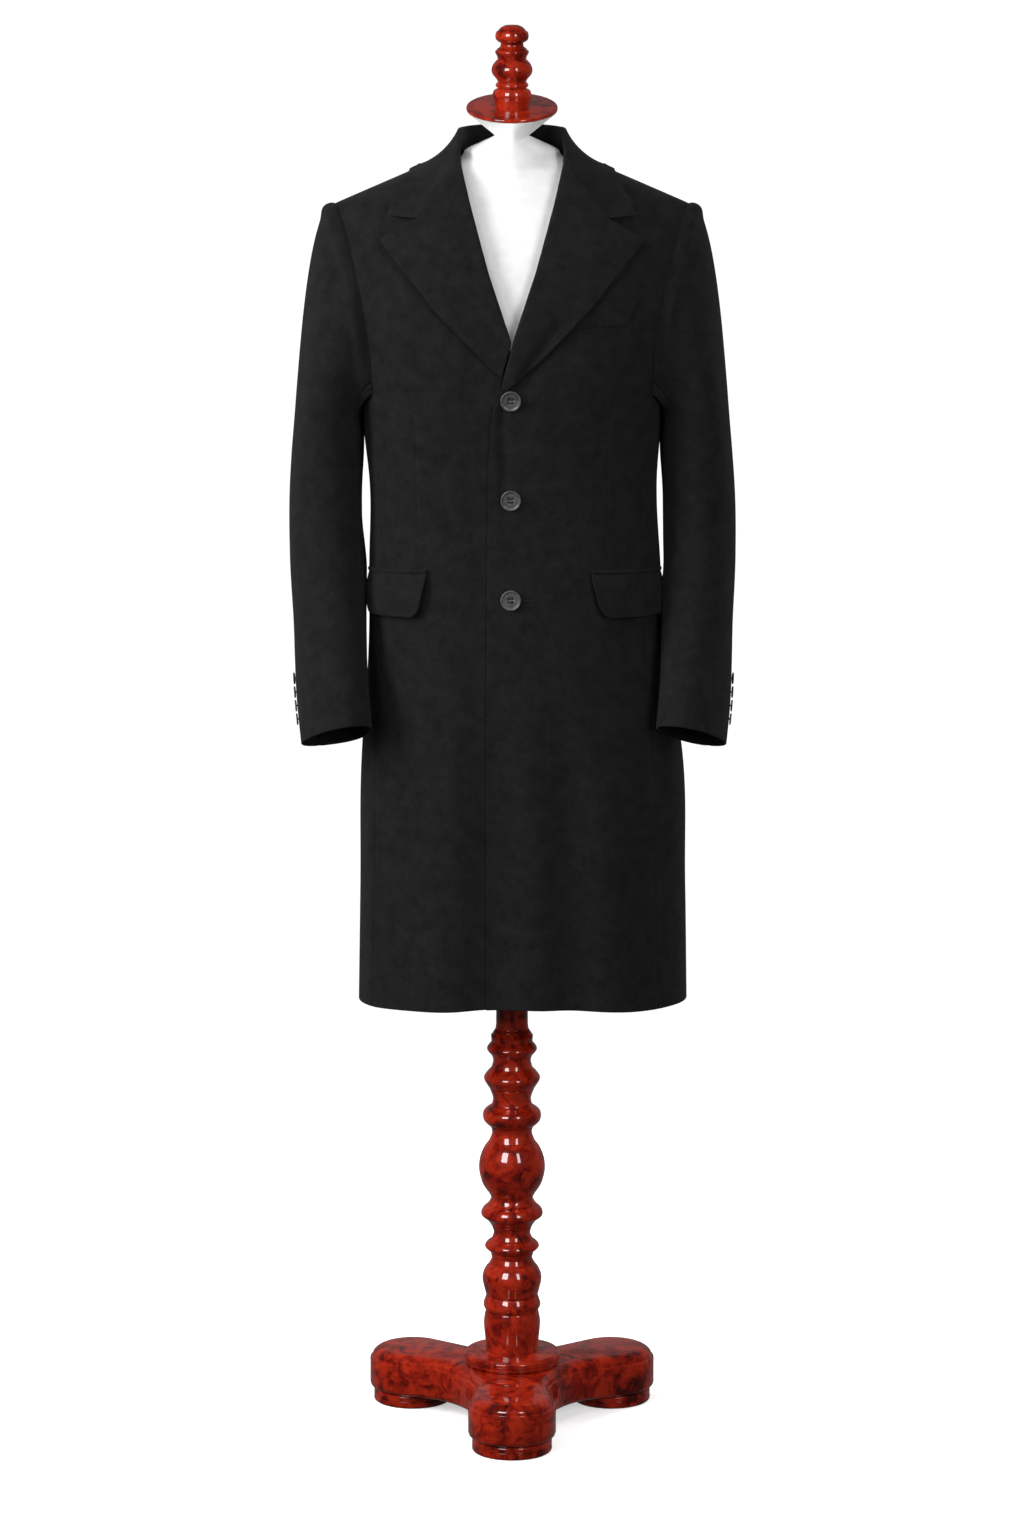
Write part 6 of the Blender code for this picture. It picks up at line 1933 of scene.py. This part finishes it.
@dataclass
class Studio:
    """Camera, pale floor and soft light."""

    camera_place: tuple[float, float, float] = (0.0, -7.5, 2.30)
    aim: tuple[float, float, float] = (0.0, 0.025, 0.8406)
    lens: float = 143.72
    floor_radius: float = 1.5
    floor_sides: int = 96
    floor_glow: float = 0.50
    white: float = 1.05
    gloss: float = 0.03
    gloss_behind: float = 0.15
    ambient: float = 0.12
    # name, degrees from the camera's side, height, distance, width and height, watts, light or mirrored
    boxes: tuple = (
        ("side_box", -66.0, 2.2, 3.2, (1.2, 2.2), 135.0, LampUse.LIGHT),
        ("fill_box", 33.0, 2.2, 4.2, (1.6, 2.2), 86.0, LampUse.LIGHT),
        ("key_box", -30.0, 2.6, 4.0, (1.2, 2.2), 24.0, LampUse.LIGHT),
        ("top_box", -10.0, 4.2, 1.6, (1.6, 1.2), 24.0, LampUse.LIGHT),
        ("back_box_right", -132.0, 2.4, 3.6, (1.6, 2.2), 70.0, LampUse.LIGHT),
        ("back_box_left", 132.0, 2.4, 3.6, (1.6, 2.2), 80.0, LampUse.LIGHT),
        ("wide_panel", -30.0, 2.8, 4.0, (1.7, 2.2), 120.0, LampUse.MIRRORED),
        ("slim_panel", 27.0, 2.8, 4.2, (0.8, 2.2), 44.0, LampUse.MIRRORED),
    )
    box_aim: tuple[float, float, float] = (0.0, 0.0, 1.05)

    def hang(self, data: ID, place: tuple, aim: tuple) -> Object:
        """Put a camera or a light in its place, turned to its aim."""
        made = put(data.name, data)
        made.location = place
        made.rotation_euler = (Vector(aim) - Vector(place)).to_track_quat("-Z", "Y").to_euler()
        return made

    def camera(self) -> None:
        """Put the camera where the photograph was taken from."""
        data = bpy.data.cameras.new("photo_camera")
        data.sensor_fit, data.sensor_width, data.lens = "AUTO", 36.0, self.lens
        data.clip_end = 100.0
        bpy.context.scene.camera = self.hang(data, self.camera_place, self.aim)

    def lamp(self, name: str, place: tuple, size: tuple, power: float, use: LampUse) -> None:
        """Hang one soft box that points at the coat.

        Args:
            name: Name of the light.
            place: Where it hangs.
            size: Width and height.
            power: Watts.
            use: Whether it lights the coat or is only mirrored in polished faces.
        """
        data = bpy.data.lights.new(name, "AREA")
        data.shape, data.size, data.size_y, data.energy = "RECTANGLE", size[0], size[1], power
        made = self.hang(data, place, self.box_aim)
        made.visible_camera = False
        made.visible_diffuse, made.visible_glossy = use is LampUse.LIGHT, use is LampUse.MIRRORED

    def floor(self) -> None:
        """Lay the plain pale floor."""
        turns = full_turn(self.floor_sides)
        points = xyz(self.floor_radius * np.cos(turns), self.floor_radius * np.sin(turns), 0.0)
        nodes = Nodes(bpy.data.materials.new("studio_floor"))
        nodes.fix(Base_Color=(0.86, 0.86, 0.86, 1.0), Roughness=0.9, Specular_IOR_Level=0.0,
                  Emission_Color=(1.0, 1.0, 1.0, 1.0), Emission_Strength=self.floor_glow)
        made = link_mesh("studio_floor", points, [list(range(self.floor_sides))], nodes.owner)
        made.visible_diffuse, made.visible_glossy = False, False

    def world(self) -> None:
        """White surroundings, softer as a light than as they look."""
        nodes = Nodes(bpy.data.worlds.new("studio_white"))
        nodes.fix(Color=(1.0, 1.0, 1.0, 1.0))
        ray = nodes.add("ShaderNodeLightPath")
        place = nodes.add("ShaderNodeTexCoord")
        parts = nodes.add("ShaderNodeSeparateXYZ", {0: place.outputs["Generated"]})
        low, high = self.gloss - self.ambient, self.gloss_behind - self.ambient
        behind = nodes.span(parts.outputs["Y"], low, high)
        mirrored = nodes.add("ShaderNodeMath", {0: ray.outputs["Is Glossy Ray"], 1: behind},
                             operation="MULTIPLY_ADD")
        mirrored.inputs[2].default_value = self.ambient
        level = nodes.sum(mirrored.outputs[0], ray.outputs["Is Camera Ray"], self.white - self.ambient)
        nodes.feed("Strength", level)
        bpy.context.scene.world = nodes.owner

    def build(self) -> None:
        """Set up the whole studio."""
        self.camera()
        self.floor()
        self.world()
        for name, degrees, height, distance, size, power, use in self.boxes:
            turn = math.radians(degrees)
            place = (distance * math.sin(turn), AXIS_Y - distance * math.cos(turn), height)
            self.lamp(name, place, size, power, use)
        bpy.context.scene.view_settings.view_transform = "Standard"
        bpy.context.scene.view_settings.look = "None"


def sew_buttons(coat: CoatBody, panels: dict, sleeves: dict, finishes: dict) -> dict:
    """Make all buttons and the front buttonholes.

    Args:
        coat: Body of the coat.
        panels: Objects of the body.
        sleeves: Sleeve makers and objects by side.
        finishes: Materials by name.

    Returns:
        Pieces by the cloth that they sit on.
    """
    buttons = Buttons(finishes["horn"], finishes["thread"])
    holes = Buttonholes(coat, finishes["cloth_thread"])
    large, small = buttons.blank(buttons.large), buttons.blank(buttons.small)
    made = {"front": [], Side.LEFT: [], Side.RIGHT: []}
    tree = tree_of(panels["front", Side.LEFT])
    for number, height in enumerate(FRONT_BUTTONS, start=1):
        place, out = coat.at(np.array([FRONT_BUTTON_X]), np.array([height]), Side.LEFT)
        spot = seat_on(tree, place[0], (0, 1, 0), reach=0.12)
        made["front"] += buttons.sew(f"horn_front_{number}", large, buttons.large, spot, out[0],
                                     f"front_button_{number}")
        made["front"].append(holes.build(number, height))
    for side, (sleeve, things) in sleeves.items():
        tree = tree_of(*(thing for thing, _ in things.values()))
        for number, height in enumerate(CUFF_BUTTONS, start=1):
            around = sleeve.ring(height, np.radians(CUFF_BUTTON_TURN + np.array([-8.0, 0.0, 8.0])))
            lower = sleeve.ring(height - 0.01, np.radians([CUFF_BUTTON_TURN]))[0]
            out = unit(np.cross(around[2] - around[0], around[1] - lower))
            out = out if out[0] * side.value > 0 else -out
            spot = seat_on(tree, around[1], -out, reach=0.03)
            name = f"cuff_button_{side.word}_{number}"
            made[side] += buttons.sew(f"horn_{name}", small, buttons.small, spot, out, name)
    for blank in (large, small):
        bpy.data.objects.remove(blank, do_unlink=True)
    return made


def main() -> None:
    """Build the coat, the form and the studio in order."""
    logging.basicConfig(level=logging.INFO, format="%(message)s")
    finishes = {
        "wool": WoolCloth().material(),
        "horn": HornFinish().material(),
        "thread": ThreadFinish("button_thread", (0.0055, 0.0055, 0.0055)).material(),
        "cloth_thread": ThreadFinish("buttonhole_thread", (0.0055, 0.0055, 0.0054)).material(),
        "jersey": JerseyCover().material(),
        "lacquer": LacquerFinish().material(),
    }
    wool, lacquer = finishes["wool"], finishes["lacquer"]
    coat = CoatBody()
    body = coat.build(wool)
    lapels = {}
    gorge = None
    for side, ends in zip(Side, LAPEL_ENDS):
        maker = Lapel(coat, side, ends)
        lapels[side] = maker.build(wool)
        if side is Side.LEFT:
            gorge = maker.grid()[0]
    collar = Collar(coat, gorge).build(wool)
    sleeves = {}
    for side in Side:
        maker = Sleeve(side, coat, body["grids"])
        sleeves[side] = (maker, maker.build(wool))
    pockets = {side: Pocket(coat, side, x).build(wool) for side, x in zip(Side, POCKET_X)}
    welt = BreastWelt(coat).build(wool)
    sewn = sew_buttons(coat, body["pieces"], sleeves, finishes)
    form = DressForm()
    cover = form.torso(finishes["jersey"])
    form.cap(lacquer)
    form.finial().build(lacquer, WOOD_SLOT)
    column = Turned("lacquer_column", COLUMN_PROFILE, COLUMN_CRISP, (0.0, AXIS_Y), "column", COLUMN_GROOVES)
    column.build(lacquer, WOOD_SLOT)
    StandBase().build(lacquer)
    for (kind, side), piece in body["pieces"].items():
        pieces = sewn["front"] if (kind, side) == ("front", Side.LEFT) else []
        declare_cloth(piece, body["cloth"][kind, side], "hung", [cover.name], pieces)
    for side in Side:
        front = body["pieces"]["front", side].name
        declare_cloth(*lapels[side], "folded", [front])
        for label, (thing, piece) in sleeves[side][1].items():
            declare_cloth(thing, piece, "hung", [front, body["pieces"]["back", side].name],
                          sewn[side] if label == "top" else [])
        for thing, piece in pockets[side].values():
            declare_cloth(thing, piece, "laid", [front])
    declare_cloth(*collar, "folded", [body["pieces"]["back", Side.LEFT].name])
    declare_cloth(*welt, "laid", [body["pieces"]["front", Side.LEFT].name])
    Studio().build()


if __name__ == "__main__":
    main()
